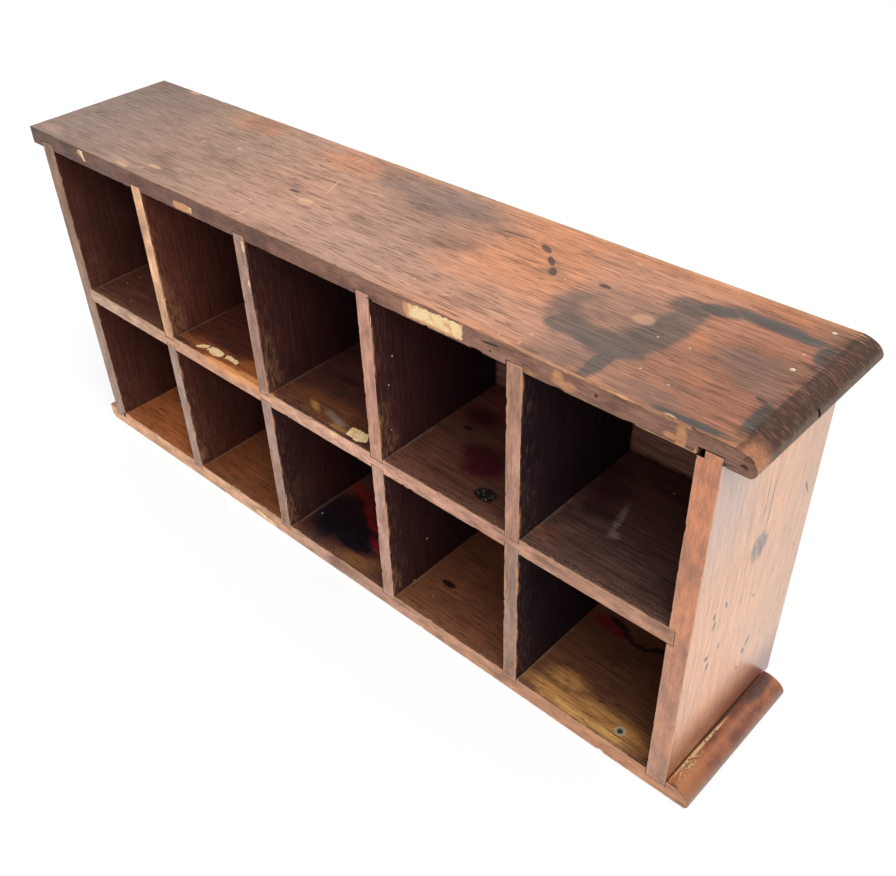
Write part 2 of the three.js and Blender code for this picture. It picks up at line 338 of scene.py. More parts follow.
print("trees can be run")

# %% [markdown]
# ## Aged oak
# All the wood is oak: open pores in short dark dashes along the grain, soft growth rings, and a
# brown that grew darker where hands and dust did not reach. The grain is a solid pattern in
# millimetres, so it runs on over an arris and shows as arcs on the end of a board.

# %% Grain
RING_SPACING = 2.9
RING_WANDER = 15.0
PITH_ACROSS = 190.0
PITH_DEPTH = 75.0
LINE_WIDTH = 0.038
RIM_HEIGHT = 0.9
PORE_DEPTH = 0.00025


def light(colour):
    """Colour as light: three screen values from 0 to 255 are turned, and a wire stays as it is."""
    if isinstance(colour, Wire):
        return colour
    shares = [value / 255.0 for value in colour]
    return (*[s / 12.92 if s <= 0.04045 else ((s + 0.055) / 1.055) ** 2.4 for s in shares], 1.0)


def mix(share, first, second):
    """First colour where the share is 0 and second colour where it is 1."""
    inputs = {0: share, 6: light(first), 7: light(second)}
    return wire_node(share.tree, "ShaderNodeMix", inputs, 2, data_type="RGBA")


def shaded(colour, factor):
    """Colour made darker or lighter by a wire around 1."""
    vector = colour if isinstance(colour, Wire) else light(colour)[:3]
    inputs = {0: vector, "Scale": factor}
    return wire_node(factor.tree, "ShaderNodeVectorMath", inputs, operation="SCALE")


def start_finish(name):
    """New material: its shader, the place in millimetres and the way a surface faces."""
    material = bpy.data.materials.new(name)
    material.use_nodes = True
    tree = material.node_tree
    tree.nodes.clear()
    shader = tree.nodes.new("ShaderNodeBsdfPrincipled")
    tree.links.new(shader.outputs[0], tree.nodes.new("ShaderNodeOutputMaterial").inputs[0])
    coordinates = tree.nodes.new("ShaderNodeTexCoord")
    inputs = {0: Wire(coordinates.outputs["Object"]), 1: (1.0 / MM,) * 3}
    place = split(wire_node(tree, "ShaderNodeVectorMath", inputs, operation="MULTIPLY"))
    facing = split(Wire(coordinates.outputs["Normal"]))
    return material, shader, place, facing


def oak_grain(along, across, depth):
    """Growth rings, streaks and pores, each from 0 to 1; distances are in millimetres."""
    wander = noise((along * 0.004, across * 0.02, depth * 0.02), 2.0)
    pith = ((across + PITH_ACROSS) ** 2.0 + (depth + PITH_DEPTH) ** 2.0) ** 0.5
    turn = (pith + wander * RING_WANDER) * (2.0 * math.pi / RING_SPACING)
    rings = turn.math("SINE") * 0.5 + 0.5
    streaks = noise((along * 0.03, across * 1.15, depth * 1.15), 4.0, 0.7)
    lines = noise((along * 0.026, across * 0.62, depth * 0.62), 1.0)
    broken = noise((along * 0.07, across * 0.4, depth * 0.4), 1.0)
    thin = 1.0 - ((lines - 0.5) / LINE_WIDTH).math("ABSOLUTE")
    pores = thin.clamped() * step(broken, 0.4, 0.5)
    return rings, streaks, pores


def grain_factor(rings, streaks, contrast=1.0):
    """Lighter and darker lines of the grain, as a factor around 1."""
    return (streaks - 0.5) * (2.3 * contrast) + (rings - 0.5) * (0.1 * contrast) + 1.0


def rough_edge(place, spread):
    """Noise that pushes the rim of a stain about, around 0."""
    return (noise([value / spread for value in place], 3.0, 0.62) - 0.5) * RIM_HEIGHT


def finish_oak(shader, colour, pores, streaks, roughness, gloss, bump=PORE_DEPTH):
    """Joins the colour, the gloss and the relief of the pores to the shader."""
    relief = streaks * 0.6 - pores
    inputs = {"Strength": 0.8, "Distance": bump, "Height": relief}
    plug(shader.inputs["Normal"], wire_node(colour.tree, "ShaderNodeBump", inputs))
    plug(shader.inputs["Base Color"], colour)
    plug(shader.inputs["Roughness"], roughness)
    plug(shader.inputs["Specular IOR Level"], gloss)


print("grain rings stand", RING_SPACING, "mm apart")

# %% [markdown]
# ## Stains, specks and worn arrises
# Ink, damp and knocks are what tell this sorter from a new one. A stain is an ellipse, given by
# its middle and reach in millimetres on a face, with a rim roughened by noise. Several stains of
# one kind are joined by keeping the larger mask, so where they overlap they do not add up. The
# renderer can keep only so many values at once, so each stain waits for the one before it: it
# takes in a millionth of that mask, which changes nothing that can be seen.

# %% Stains
HARDLY_ANYTHING = 1e-6
CASE_LEFT = -302.8
CASE_LENGTH = 605.6
NEAR_FRONT = -59.0


def blot(plane, u, v, reach_u, reach_v, turn=0.0, edge=0.3, wobble=None, before=0.0):
    """Mask of one stain in the plane of two wires; before is worked out first."""
    tree = plane[0].tree
    mapped = wire_node(tree, "ShaderNodeMapping", {
        "Vector": join(*plane, before), "Location": (u, v, 0.0),
        "Rotation": (0.0, 0.0, math.radians(turn)), "Scale": (reach_u, reach_v, 1.0),
    }, vector_type="TEXTURE")
    distance = wire_node(tree, "ShaderNodeVectorMath", {0: mapped}, "Value", operation="LENGTH")
    if wobble is not None:
        distance = distance + wobble
    return 1.0 - step(distance, 1.0 - edge, 1.0 + edge)


def blots(plane, places, edge=0.3, wobble=None):
    """One mask for several stains, each with its middle, its two reaches and perhaps a turn."""
    joined = blot(plane, *places[0], edge=edge, wobble=wobble)
    for place in places[1:]:
        waiting = joined * HARDLY_ANYTHING
        joined = joined.over(blot(plane, *place, edge=edge, wobble=wobble, before=waiting))
    return joined


def specks(place, spacing, size, share):
    """Mask of small scattered specks: one in each cell of a given share of cells."""
    vector = join(*[value / spacing for value in place])
    cells = add_node(vector.tree, "ShaderNodeTexVoronoi", {"Vector": vector, "Scale": 1.0})
    near = 1.0 - step(Wire(cells.outputs["Distance"]), size * 0.6, size)
    chance = split(Wire(cells.outputs["Color"]))[0]
    return near * step(chance, 1.0 - share, 1.01 - share)


def arris_gap(tree):
    """Millimetres from the nearest arris, as the worn board tree stored them."""
    return wire_node(tree, "ShaderNodeAttribute", output="Fac", attribute_name="arris")


def chafed_arris(rim, y, push, low, high, behind):
    """Mask of rubbed arrises with a ragged rim, at the front of the case only."""
    near = 1.0 - step(arris_gap(rim.tree) + rim * push, low, high)
    return near * step(y, behind, NEAR_FRONT)


def faces_front(facing):
    return step(facing[1] * -1.0, 0.35, 0.8)


def along_case(x, stops, blend="EASE"):
    """Tone that changes from left to right; each stop is a place in millimetres and a tone."""
    share = (x - CASE_LEFT) / CASE_LENGTH
    made = add_node(x.tree, "ShaderNodeValToRGB", {0: share})
    ramp = made.color_ramp
    ramp.interpolation = blend
    while len(ramp.elements) < len(stops):
        ramp.elements.new(1.0)
    for element, (place, *colour) in zip(ramp.elements, stops):
        element.position = (place - CASE_LEFT) / CASE_LENGTH
        element.color = light(colour)
    return Wire(made.outputs["Color"])


def edge_wear(along, across, depth):
    """Fine lines and wide patches of a bare front edge, as a factor around 1."""
    fine = noise((along * 0.22, across * 1.7, depth * 1.7), 3.0, 0.6)
    wide = noise((along / 17.0, across / 7.0, depth / 7.0), 3.0, 0.6)
    return (fine - 0.5) * 0.9 + (wide - 0.5) * 1.5 + 1.0


print("stain helpers are ready")

# %% [markdown]
# ## Finish of the top
# The top is the worn, inky face of the sorter. It starts as brown oak, duller to the left and
# redder where it was rubbed, right of its middle. A spilled ink ring with a long tail, three
# drops and a few streaks lie over that. The nosing is darker, and its edge frays along the grain.

# %% Top finish
TOP_TONES = [
    (-302, 143, 118, 102), (-150, 169, 132, 111), (-50, 194, 145, 120),
    (35, 188, 144, 121), (110, 220, 154, 118), (190, 204, 143, 113),
    (270, 174, 115, 88),
]
INK_SPILLS = [
    (214, -2, 11.5, 32, -8), (206, -42, 5, 20), (212, 28, 13, 9), (198, -28, 22, 11),
    (172, -27, 13, 9),
]
TOP_GRIME = [
    (240, -26, 40, 26), (262, -4, 24, 22), (-272, 40, 60, 26), (34, 30, 50, 24),
    (62, 6, 26, 18),
]
INK_RING = (179, -11, 28, 25)
INK_RING_HOLE = (184, -3, 18, 15)
INK_WASHES = [
    (184, -6, 30, 30), (192, -34, 26, 22), (190, -50, 26, 9), (240, -52, 24, 8), (30, 39, 40, 14),
    (-8, 38, 22, 8), (275, -12, 14, 8), (262, 2, 22, 10),
]
INK_TAIL = [
    (225, 34, 14, 6, 12), (256, 38.5, 32, 5.4, -2), (286, 29, 4.6, 11, 8),
    (287, -38, 3.6, 17, 5), (270, -57, 24, 2.6, 1),
]
INK_DROPS = [
    (114, 30.5, 5.4, 2.1, -25), (125, 21, 5.6, 2, -45), (133, 12, 4.6, 2.3, -52),
    (165, 17, 4.0, 1.8), (281, -22, 3.4, 1.2, -8), (-60, -10, 5, 1.4, 4),
    (90, 33.5, 13, 0.7, 7),
]
TOP_BRIGHT = [
    (-165, 48, 26, 12), (-60, 43, 28, 12), (215, 57, 76, 6),
    (118, 20, 34, 36), (115, 52, 50, 10), (248, -26, 7, 6), (260, 54, 30, 5),
    (294, -55, 5, 5), (90, -22, 20, 7), (238, 4, 12, 9),
]
TOP_PINK = [(40, -38, 130, 20), (-60, -40, 60, 16), (-195, -55, 10, 5), (-285, -52, 14, 4)]
TOP_PALE = [
    (-43, -16, 5.5, 4.5), (-45, 10, 0.8, 10, 22), (-143, 11, 2.6, 1.4),
    (-258, 59, 6, 2.2), (137, -42, 8, 0.9, 4), (105, -44, 4, 0.9, 40),
    (165, 49, 1.8, 0.8), (165, -46, 1.0, 1.0), (-61, 49, 0.9, 4),
    (256, -59, 3, 1.2), (53, -46, 2.4, 1.0, 30), (-174, 3, 2.2, 0.8, 30),
    (-172, -51, 2, 0.9, 20), (-62, -52, 1, 4), (-73, -36, 1.4, 1.2), (165, -56, 1, 1.2),
    (-187, -57, 7, 1.8, -4), (-165, -45, 6, 1.8),
]
RUBBED_RING = (200, 2, 6.2, 4.8)
WORN_CORNER = (-60, 262, 11, 9)
TOP_GLOSS = 0.25
TOP_FRONT_TONES = [
    (-302, 96, 65, 52), (-150, 118, 76, 60), (-40, 127, 85, 67),
    (70, 152, 106, 86), (180, 156, 110, 91), (290, 137, 98, 80),
]
FRONT_BARE = [
    (198, 258, 7, 2.6), (194, 262, 3, 3), (264, 260, 2.2, 9), (259, 258, 4, 1.6),
    (176, 256, 5, 1.6),
]
FRONT_HOLE_SHADE = [(216.7, 260.7, 1.1, 1.1), (150, 258, 0.8, 0.8), (150, 262.5, 6, 0.8, 6)]


def oak_top():
    material, shader, place, facing = start_finish("oak_top")
    x, y, z = place
    rings, streaks, pores = oak_grain(x, y, z)
    rim = rough_edge((x, y * 1.5, z), 12.0)
    hairs = noise((x / 14.0, y / 1.1, z / 5.0), 2.0)
    cloud = noise((x / 46.0, y / 22.0, z / 22.0), 3.0, 0.55)
    factor = grain_factor(rings, streaks, 0.95)
    on_top = (x, y)
    wood = along_case(x + rim * 30.0, TOP_TONES)
    bright = blots(on_top, TOP_BRIGHT, 0.65, rim)
    wood = mix(bright * 0.6, wood, (206, 134, 90))
    wood = mix(blots(on_top, TOP_PINK, 0.6, rim) * 0.5, wood, (196, 152, 132))
    wood = mix(step(cloud, 0.5, 0.7) * 0.5, wood, (122, 94, 78))
    wood = shaded(wood, factor)
    crisp = step(x, -270.0, -60.0) * 0.45 + 0.55
    wood = mix(pores * crisp * 0.66, wood, (66, 37, 27))
    grime = blots(on_top, TOP_GRIME, 0.6, rim * 1.4)
    wood = mix(grime * 0.26, wood, shaded((98, 66, 54), factor))
    washes = blots(on_top, INK_WASHES, 0.4, rim * 0.9)
    wood = mix(washes * 0.42, wood, shaded((104, 94, 88), factor))
    ring = blot(on_top, *INK_RING, edge=0.16, wobble=rim * 0.4)
    ring = ring * (1.0 - blot(on_top, *INK_RING_HOLE, edge=0.25, wobble=rim * 0.5))
    ring = ring * (1.0 - step(y, 2.0, 14.0))
    spills = blots(on_top, INK_SPILLS, 0.25, rim * 0.7).over(ring * 0.72)
    tail = blots(on_top, INK_TAIL, 0.4, rim * 0.7)
    ink = shaded((78, 78, 74), factor)
    wood = mix((spills * 0.7).over(tail * 0.9), wood, ink)
    drops = blots(on_top, INK_DROPS, 0.25, rim * 0.35)
    wood = mix(drops * 0.82, wood, (50, 47, 48))
    back_strip = step(y + rim * 7.0, 55.0, 60.0) * step(x, -190.0, -60.0)
    wood = mix(back_strip * 0.5, wood, shaded((216, 156, 110), factor))
    pale = blots(on_top, TOP_PALE, 0.4, rim * 0.8)
    pale = pale.over(blot(on_top, *RUBBED_RING, edge=0.25, wobble=rim * 0.4) * 0.7)
    wood = mix(pale * 0.75, wood, (226, 174, 138))
    wood = mix(specks(place, 9.0, 0.09, 0.22) * 0.8, wood, (226, 198, 172))
    nosing = step(x + (hairs - 0.5) * 44.0 + rim * 24.0, 281.0, 294.0)
    dark_wood = mix(cloud, (34, 19, 13), (64, 40, 28))
    dark_wood = mix(step(hairs, 0.54, 0.66) * 0.5, dark_wood, (146, 100, 72))
    # Painted sheen: the face of the nosing that looks right is greyed, as if it mirrored the white
    # floor.
    outer_rim_sheen = step(facing[0] + rim * 0.5, 0.7, 0.95)
    dark_wood = mix(outer_rim_sheen * 0.75, dark_wood, (100, 84, 70))
    worn_corner = blot((y, z), *WORN_CORNER, edge=0.5, wobble=rim)
    dark_wood = mix(worn_corner * 0.7, dark_wood, (196, 134, 96))
    wood = mix(nosing * 0.94, wood, shaded(dark_wood, factor))
    left_end = step(facing[0] * -1.0, 0.5, 0.8)
    wood = mix(left_end, wood, shaded((96, 68, 52), factor))
    # Painted shade: the walls of the housings in the top are painted almost black.
    trench_shade = step(facing[0].math("ABSOLUTE"), 0.8, 0.95)
    trench_shade = trench_shade * (1.0 - step(x.math("ABSOLUTE"), 287.0, 289.0))
    wood = mix(trench_shade, wood, (24, 15, 12))
    front = step(facing[1] * -1.0, 0.6, 0.85)
    front_wood = along_case(x + rim * 60.0, TOP_FRONT_TONES)
    front_wood = mix(step(cloud, 0.5, 0.72) * 0.7, front_wood, (62, 38, 30))
    front_wood = mix(pores * 0.5, front_wood, (54, 32, 25))
    bare = blots((x, z), FRONT_BARE, 0.4, rim * 2.4)
    front_wood = mix(bare * 0.8, front_wood, (206, 146, 100))
    front_wood = shaded(front_wood, edge_wear(x, y, z))
    # Painted shade: small holes in the front edge of the top are painted almost black, not cut.
    hole_shade = blots((x, z), FRONT_HOLE_SHADE, 0.3)
    front_wood = mix(hole_shade * 0.9, front_wood, (34, 20, 16))
    wood = mix(front, wood, front_wood)
    gap = arris_gap(x.tree)
    bare_arris = (1.0 - step(gap + rim * 3.0, 0.1, 1.1)) * step(cloud, 0.42, 0.55)
    bare_arris = bare_arris * (step(x, 90.0, 255.0) * 0.7 + 0.25)
    bare_arris = bare_arris * step(y.math("ABSOLUTE"), 52.0, 58.0) * (1.0 - nosing)
    wood = mix(bare_arris, wood, (216, 160, 116))
    black_arris = (1.0 - step(gap + rim * 1.6, 0.2, 0.9)) * (1.0 - bare_arris)
    wood = mix(black_arris * 0.55, wood, (52, 31, 24))
    under = step(facing[2] * -1.0, 0.6, 0.85)
    wood = mix(under, wood, shaded((70, 40, 29), factor))
    finish_oak(shader, wood, pores, streaks, cloud * 0.25 + 0.32, TOP_GLOSS)
    return material


top_finish = oak_top()
print("top finish has", len(top_finish.node_tree.nodes), "nodes")

# %% [markdown]
# ## Finish inside the pigeonholes
# Inside, the oak is a deep red-brown, and painted shade turns it almost black towards the back
# of each pigeonhole. The front edges are bare and pinkish from hands and letters, and no two of
# them wore alike, so their tones are given one by one from left to right. Grey dust lies on the
# walls near the front, low down.

# %% Divider and back finishes
UPPER_FRONTS = [
    (-302, 236, 183, 144), (-120, 177, 141, 126), (-5, 206, 153, 132),
    (105, 190, 143, 121),
]
LOWER_FRONTS = [
    (-302, 177, 149, 134), (-120, 182, 149, 134), (-5, 199, 156, 138),
    (105, 169, 136, 119),
]
WALLS = [
    (-302, 96, 48, 37), (-120, 70, 34, 30), (-5, 66, 32, 31),
    (105, 38, 20, 26),
]
SHELF_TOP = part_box("shelf")[1].z / MM
FLOOR_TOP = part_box("base_board")[1].z / MM
SHELF_MIDDLE = SHELF_TOP - 6.0
INNER_GLOSS = 0.2
RUBBED_WALLS = [(-57, 160, 6, 20), (-56, 146, 9, 8), (-58, 24, 5, 12)]


def with_back_shade(wood, y, share=0.72):
    """Wood of a wall, turned almost black by painted shade towards the back of its pigeonhole."""
    return mix(step(y, -50.0, 34.0) * share, wood, (22, 7, 12))


def above_shelf(z):
    return step(z, SHELF_MIDDLE - 0.5, SHELF_MIDDLE + 0.5)


def dusting(y, z, rim):
    """Dust low on the walls near the front of a pigeonhole."""
    upper_row = above_shelf(z)
    height = z - FLOOR_TOP - upper_row * (SHELF_TOP - FLOOR_TOP)
    forward = 1.0 - step(y + rim * 34.0, -60.0, -26.0)
    blotches = noise((y / 2.6, y / 9.0, z / 3.4), 4.0, 0.7)
    low = 1.0 - step(height + rim * 46.0, 4.0, 70.0)
    return forward * low * step(blotches, 0.42, 0.68)


def oak_divider():
    material, shader, place, facing = start_finish("oak_divider")
    x, y, z = place
    rings, streaks, pores = oak_grain(z, y, x)
    rim = rough_edge(place, 10.0)
    cloud = noise((x / 30.0, y / 20.0, z / 34.0), 3.0, 0.6)
    factor = grain_factor(rings, streaks, 1.3)
    wood = along_case(x, WALLS, "CONSTANT")
    upper_row = above_shelf(z)
    depth_tone = (cloud * 0.9 + 0.55) * (upper_row * 0.28 + 0.7)
    # Painted shade turns the walls almost black towards the back, most of all on the last divider.
    back_shade_share = step(x, 100.0, 110.0) * 0.22 + 0.72
    wood = with_back_shade(shaded(wood, factor * depth_tone), y, back_shade_share)
    settled = dusting(y, z, rim) * (1.0 - step(x, -120.0, 120.0) * 0.6)
    wood = mix(settled * 0.36, wood, shaded((138, 106, 84), factor))
    wood = mix(pores * 0.5, wood, (24, 13, 11))
    scuffs = noise((y / 1.6, z / 9.0, x / 3.0), 3.0, 0.6)
    scuffed = (1.0 - step(y + rim * 26.0, -61.0, -40.0)) * step(scuffs, 0.5, 0.64)
    wood = mix(scuffed * 0.2, wood, (150, 116, 92))
    wood = mix(specks(place, 12.0, 0.08, 0.1) * 0.9, wood, (230, 220, 204))
    fronts = [along_case(x, stops, "CONSTANT") for stops in (LOWER_FRONTS, UPPER_FRONTS)]
    bare = mix(upper_row, *fronts)
    bare = mix(step(cloud, 0.5, 0.7) * 0.45, bare, (124, 96, 84))
    bare = shaded(bare, edge_wear(z, y, x))
    bare = mix(pores * 0.16, bare, (84, 54, 42))
    wood = mix(faces_front(facing), wood, bare)
    chafed = chafed_arris(rim, y, 4.6, 0.2, 2.2, -46.0) * step(cloud, 0.44, 0.6)
    wood = mix(chafed * 0.8, wood, (216, 158, 120))
    rubbed = blots((y, z), RUBBED_WALLS, 0.6, rim * 1.6) * step(scuffs, 0.4, 0.6)
    rubbed = rubbed * (1.0 - step(x, 70.0, 90.0))
    wood = mix(rubbed * 0.4, wood, (168, 120, 82))
    finish_oak(shader, wood, pores, streaks, cloud * 0.2 + 0.5, INNER_GLOSS)
    return material


def oak_back():
    material, shader, place, facing = start_finish("oak_back")
    x, y, z = place
    rings, streaks, pores = oak_grain(x, z, y)
    cloud = noise((x / 60.0, y / 20.0, z / 34.0), 3.0, 0.6)
    factor = grain_factor(rings, streaks, 1.2) * (cloud * 0.6 + 0.7)
    inside = shaded((176, 122, 106), factor)
    outside = shaded((120, 84, 60), factor)
    wood = mix(step(facing[1], -0.2, 0.4), inside, outside)
    wood = mix(pores * 0.5, wood, (44, 28, 21))
    finish_oak(shader, wood, pores, streaks, cloud * 0.2 + 0.55, INNER_GLOSS)
    return material


divider_finish = oak_divider()
back_finish = oak_back()
print("divider finish has", len(divider_finish.node_tree.nodes), "nodes")

# %% [markdown]
# ## Finish of the shelf and the base
# Both are floors of five pigeonholes, each stained in its own way, with a bare front edge. The
# tone of each floor is given from left to right and changes sharply, since a divider always
# stands on the border. Ink, wine-red spills, a knot and a rubbed golden patch go over that.

# %% Floor finishes
SHELF_FLOORS = [
    (-302, 86, 48, 35), (-170, 80, 38, 27), (-58, 75, 39, 32),
    (54, 94, 57, 44), (166, 84, 57, 50),
]
SHELF_FRONTS = [
    (-260, 201, 166, 141), (-120, 213, 160, 128), (0, 225, 175, 149),
    (110, 213, 160, 136), (230, 187, 139, 114),
]
BASE_FLOORS = [
    (-302, 157, 89, 50), (-170, 120, 68, 40), (-58, 96, 56, 44),
    (54, 114, 69, 47), (166, 102, 64, 43),
]
BASE_FRONTS = [
    (-260, 230, 177, 140), (-120, 225, 175, 140), (0, 193, 152, 132),
    (110, 200, 151, 124), (230, 200, 145, 113),
]
SHELF_STAINS = [
    ((148, 74, 66), 0.85, 0.7, [(112, 36, 46, 20)]),
    ((166, 94, 48), 0.7, 0.5, [(-112, -53, 52, 6), (-85, -50, 18, 9)]),
    ((120, 70, 40), 0.6, 0.5, [(-8, -46, 42, 12)]),
    ((40, 18, 14), 0.7, 0.4, [(-20, -14, 8, 4), (14, -18, 12, 9)]),
    ((62, 0, 20), 0.95, 0.5, [
        (78, 14, 14, 9), (112, -22, 15, 13), (103, -16, 13, 9),
    ]),
    ((14, 8, 8), 0.97, 0.14, [(131, -43.5, 8, 5.4), (79, -0.5, 3.8, 2.4)]),
    ((150, 132, 118), 0.6, 0.5, [(204, -6, 2.2, 13, 14), (210, -22, 4, 3), (4, -50, 12, 2.6, -12)]),
    ((206, 150, 84), 0.5, 0.7, [(-17, -49, 7, 2.2, -25), (15, -56, 8, 2)]),
    ((228, 150, 88), 0.9, 0.5, [(-92, -61, 34, 3.6), (-78, -58, 14, 3)]),
    ((118, 70, 44), 0.35, 0.6, [(180, -44, 9, 8)]),
    ((22, 11, 16), 0.75, 0.6, [(184, 9, 17, 15), (176, 24, 12, 12), (190, -8, 12, 8)]),
]
BASE_STAINS = [
    ((176, 106, 84), 0.75, 0.7, [(112, 38, 46, 18), (224, 40, 46, 14)]),
    ((9, 6, 17), 0.97, 0.4, [
        (-30, -26, 26, 30), (0, -16, 28, 24), (-6, -40, 24, 10), (10, 4, 20, 12),
    ]),
    ((146, 24, 22), 0.7, 0.7, [
        (-38, 3, 14, 4.4, -14), (-18, -9, 11, 3.6, -34), (-6, -18, 10, 2.8, -26),
        (14, -32, 10, 3.2, -20),
    ]),
    ((120, 78, 46), 0.7, 0.5, [(14, -53, 18, 5), (28, -48, 8, 5)]),
    ((112, 14, 24), 0.85, 0.5, [(187, 18.5, 11, 5), (199, 17, 8, 4)]),
    ((14, 9, 10), 0.95, 0.25, [
        (80.7, -26, 6.2, 2.3), (195, 23, 9, 2.6, -14), (206, 17, 7, 2.2, -24),
        (216, 15, 7, 1.9, 6), (226, 20, 6, 2.4, 35),
    ]),
    ((204, 146, 84), 0.7, 0.6, [(232, -49, 34, 9), (200, -52, 26, 6), (197, -38, 13, 6)]),
    ((232, 176, 104), 0.7, 0.6, [(214, -57, 18, 3), (236, -56, 12, 3)]),
]
CORNER_DUST = [(x, -34, 1.3, 24) for x in (-275.5, -163.6, -51.7, 60.2, 172.1)]
KNOT = (131, -43.5, 7, 4.6)
GOLDEN_EDGE = (-92, 136.5, 34, 4.4)
RIDGE = [(288.2, -25, 1.0, 29, -1)]
CRUMBS = [(290.5, -41, 2.6, 13, 4)]
NOSE_DARK = [(291, 36, 5, 14), (287, 20, 1.2, 34)]
SHELF_PORE_DEPTH = 0.0004
BEAD_COAT = 0.4
BEAD_COAT_ROUGHNESS = 0.25


def lay_stains(wood, plane, stains, rim):
    """Wood with stains on it, each given as tone, strength, softness of its rim and places."""
    for colour, strength, edge, places in stains:
        wood = mix(blots(plane, places, edge, rim) * strength, wood, colour)
    return wood


def oak_floor(name, floors, fronts, stains, ceiling, ridges):
    """Lying board with stained floors, a bare front edge and a plain underside."""
    material, shader, place, facing = start_finish(name)
    x, y, z = place
    _, streaks, pores = oak_grain(x, y, z)
    rim = rough_edge(place, 9.0)
    cloud = noise((x / 28.0, y / 18.0, z / 18.0), 3.0, 0.6)
    ridged = step(x, 40.0, 190.0) * ridges + 0.15
    factor = (streaks - 0.5) * (ridged * 2.6 + 2.4) + 1.08
    wood = along_case(x, floors, "CONSTANT")
    wood = lay_stains(wood, (x, y), stains, rim)
    # Painted shade: each floor turns darker and redder towards the back of its pigeonhole.
    floor_back_shade = 1.0 - step(y, -52.0, -8.0) * 0.1
    wood = shaded(wood, factor * floor_back_shade * (cloud + 0.5))
    wood = mix(step(y, -36.0, 12.0) * 0.25, wood, (88, 42, 34))
    wood = mix(pores * (ridged * 0.6 + 0.5), wood, (18, 10, 9))
    forward = 1.0 - step(y + rim * 16.0, -62.0, -48.0)
    crumbs = noise((x / 1.8, y / 1.1, z), 3.0, 0.7)
    wood = mix(forward * step(crumbs, 0.48, 0.62) * 0.4, wood, (150, 126, 102))
    corner_dust = blots((x, y), CORNER_DUST, 0.9, rim * 2.0)
    wood = mix(corner_dust * 0.4, wood, (130, 110, 94))
    wood = mix(specks(place, 9.0, 0.09, 0.16) * 0.85, wood, (220, 204, 180))
    bare = along_case(x, fronts)
    bare = mix(step(cloud, 0.52, 0.7) * 0.4, bare, (128, 92, 76))
    bare = shaded(bare, edge_wear(x, y, z))
    bare = mix(pores * 0.2, bare, (84, 54, 42))
    wood = mix(faces_front(facing), wood, bare)
    under = step(facing[2] * -1.0, 0.5, 0.8)
    wood = mix(under, wood, shaded(ceiling, factor))
    wood = mix(chafed_arris(rim, y, 3.2, 0.1, 1.3, -50.0) * 0.6, wood, (206, 158, 124))
    return material, shader, place, facing, wood, (streaks, pores, rim, cloud, factor)


def oak_shelf():
    made = oak_floor("oak_shelf", SHELF_FLOORS, SHELF_FRONTS, SHELF_STAINS, (52, 30, 24), 0.3)
    material, shader, (x, y, z), _, wood, (streaks, pores, rim, cloud, factor) = made
    crumbs = specks((x, y, z), 1.5, 0.42, 0.75) * blot((x, y), *KNOT)
    wood = mix(crumbs * 0.6, wood, (150, 128, 112))
    golden = blot((x, z), *GOLDEN_EDGE, edge=0.6, wobble=rim)
    golden = golden * (1.0 - step(y, NEAR_FRONT, -57.0))
    wood = mix(golden * 0.75, wood, shaded((236, 162, 102), factor))
    finish_oak(shader, wood, pores, streaks, cloud * 0.2 + 0.5, INNER_GLOSS, SHELF_PORE_DEPTH)
    return material


def oak_base():
    made = oak_floor("oak_base", BASE_FLOORS, BASE_FRONTS, BASE_STAINS, (126, 92, 68), 0.1)
    material, shader, (x, y, z), facing, wood, (streaks, pores, rim, cloud, _) = made
    outside = step(x, 285.0, 286.0).over(step(x, -288.0, -289.0))
    outside = outside * (1.0 - faces_front(facing))
    golden_wood = mix(step(cloud, 0.35, 0.65), (104, 50, 24), (152, 84, 46))
    rubbed = noise((x / 3.0, y / 5.0, z / 3.0), 4.0, 0.65)
    golden_wood = mix(step(rubbed, 0.5, 0.64) * 0.5, golden_wood, (86, 40, 20))
    forward = 1.0 - step(y + rim * 20.0, -58.0, -26.0)
    golden_wood = mix(forward * 0.6, golden_wood, (180, 112, 60))
    # Painted highlight: a golden band along the crown of the bead.
    crown_highlight = 1.0 - ((x - 294.5) / 3.5).math("ABSOLUTE").clamped()
    golden_wood = mix(crown_highlight * 0.4, golden_wood, (196, 126, 76))
    # Painted reflection of the white floor: a grey band along the outer rim of the bead.
    outer_rim_sheen = step(facing[0] + rim * 0.3, 0.62, 0.95)
    golden_wood = mix(outer_rim_sheen * 0.6, golden_wood, (132, 106, 88))
    dark = blots((x, y), NOSE_DARK, 0.4, rim * 0.7)
    golden_wood = mix(dark * 0.9, golden_wood, (62, 26, 14))
    grains = noise((x / 0.9, y / 1.6, z / 0.9), 2.0, 0.6)
    straw = blots((x, y), RIDGE, 0.3, (grains - 0.5) * 1.2)
    straw = straw.over(blots((x, y), CRUMBS, 0.5) * step(grains, 0.5, 0.62))
    straw = straw * step(grains, 0.36, 0.5)
    golden_wood = mix(straw * 0.9, golden_wood, (216, 188, 140))
    end_line = 1.0 - step(arris_gap(x.tree) + rim * 1.2, 0.3, 1.3)
    end_line = end_line * (1.0 - step(y, -59.5, -57.0))
    golden_wood = mix(end_line * 0.75, golden_wood, (60, 38, 30))
    wood = mix(outside, wood, golden_wood)
    roughness = cloud * 0.2 + 0.5 - outside * 0.2
    finish_oak(shader, wood, pores, streaks, roughness, outside * 0.35 + 0.12)
    plug(shader.inputs["Coat Weight"], outside * BEAD_COAT)
    shader.inputs["Coat Roughness"].default_value = BEAD_COAT_ROUGHNESS
    return material


shelf_finish = oak_shelf()
base_finish = oak_base()
print("shelf finish has", len(shelf_finish.node_tree.nodes), "nodes")
print("base finish has", len(base_finish.node_tree.nodes), "nodes")
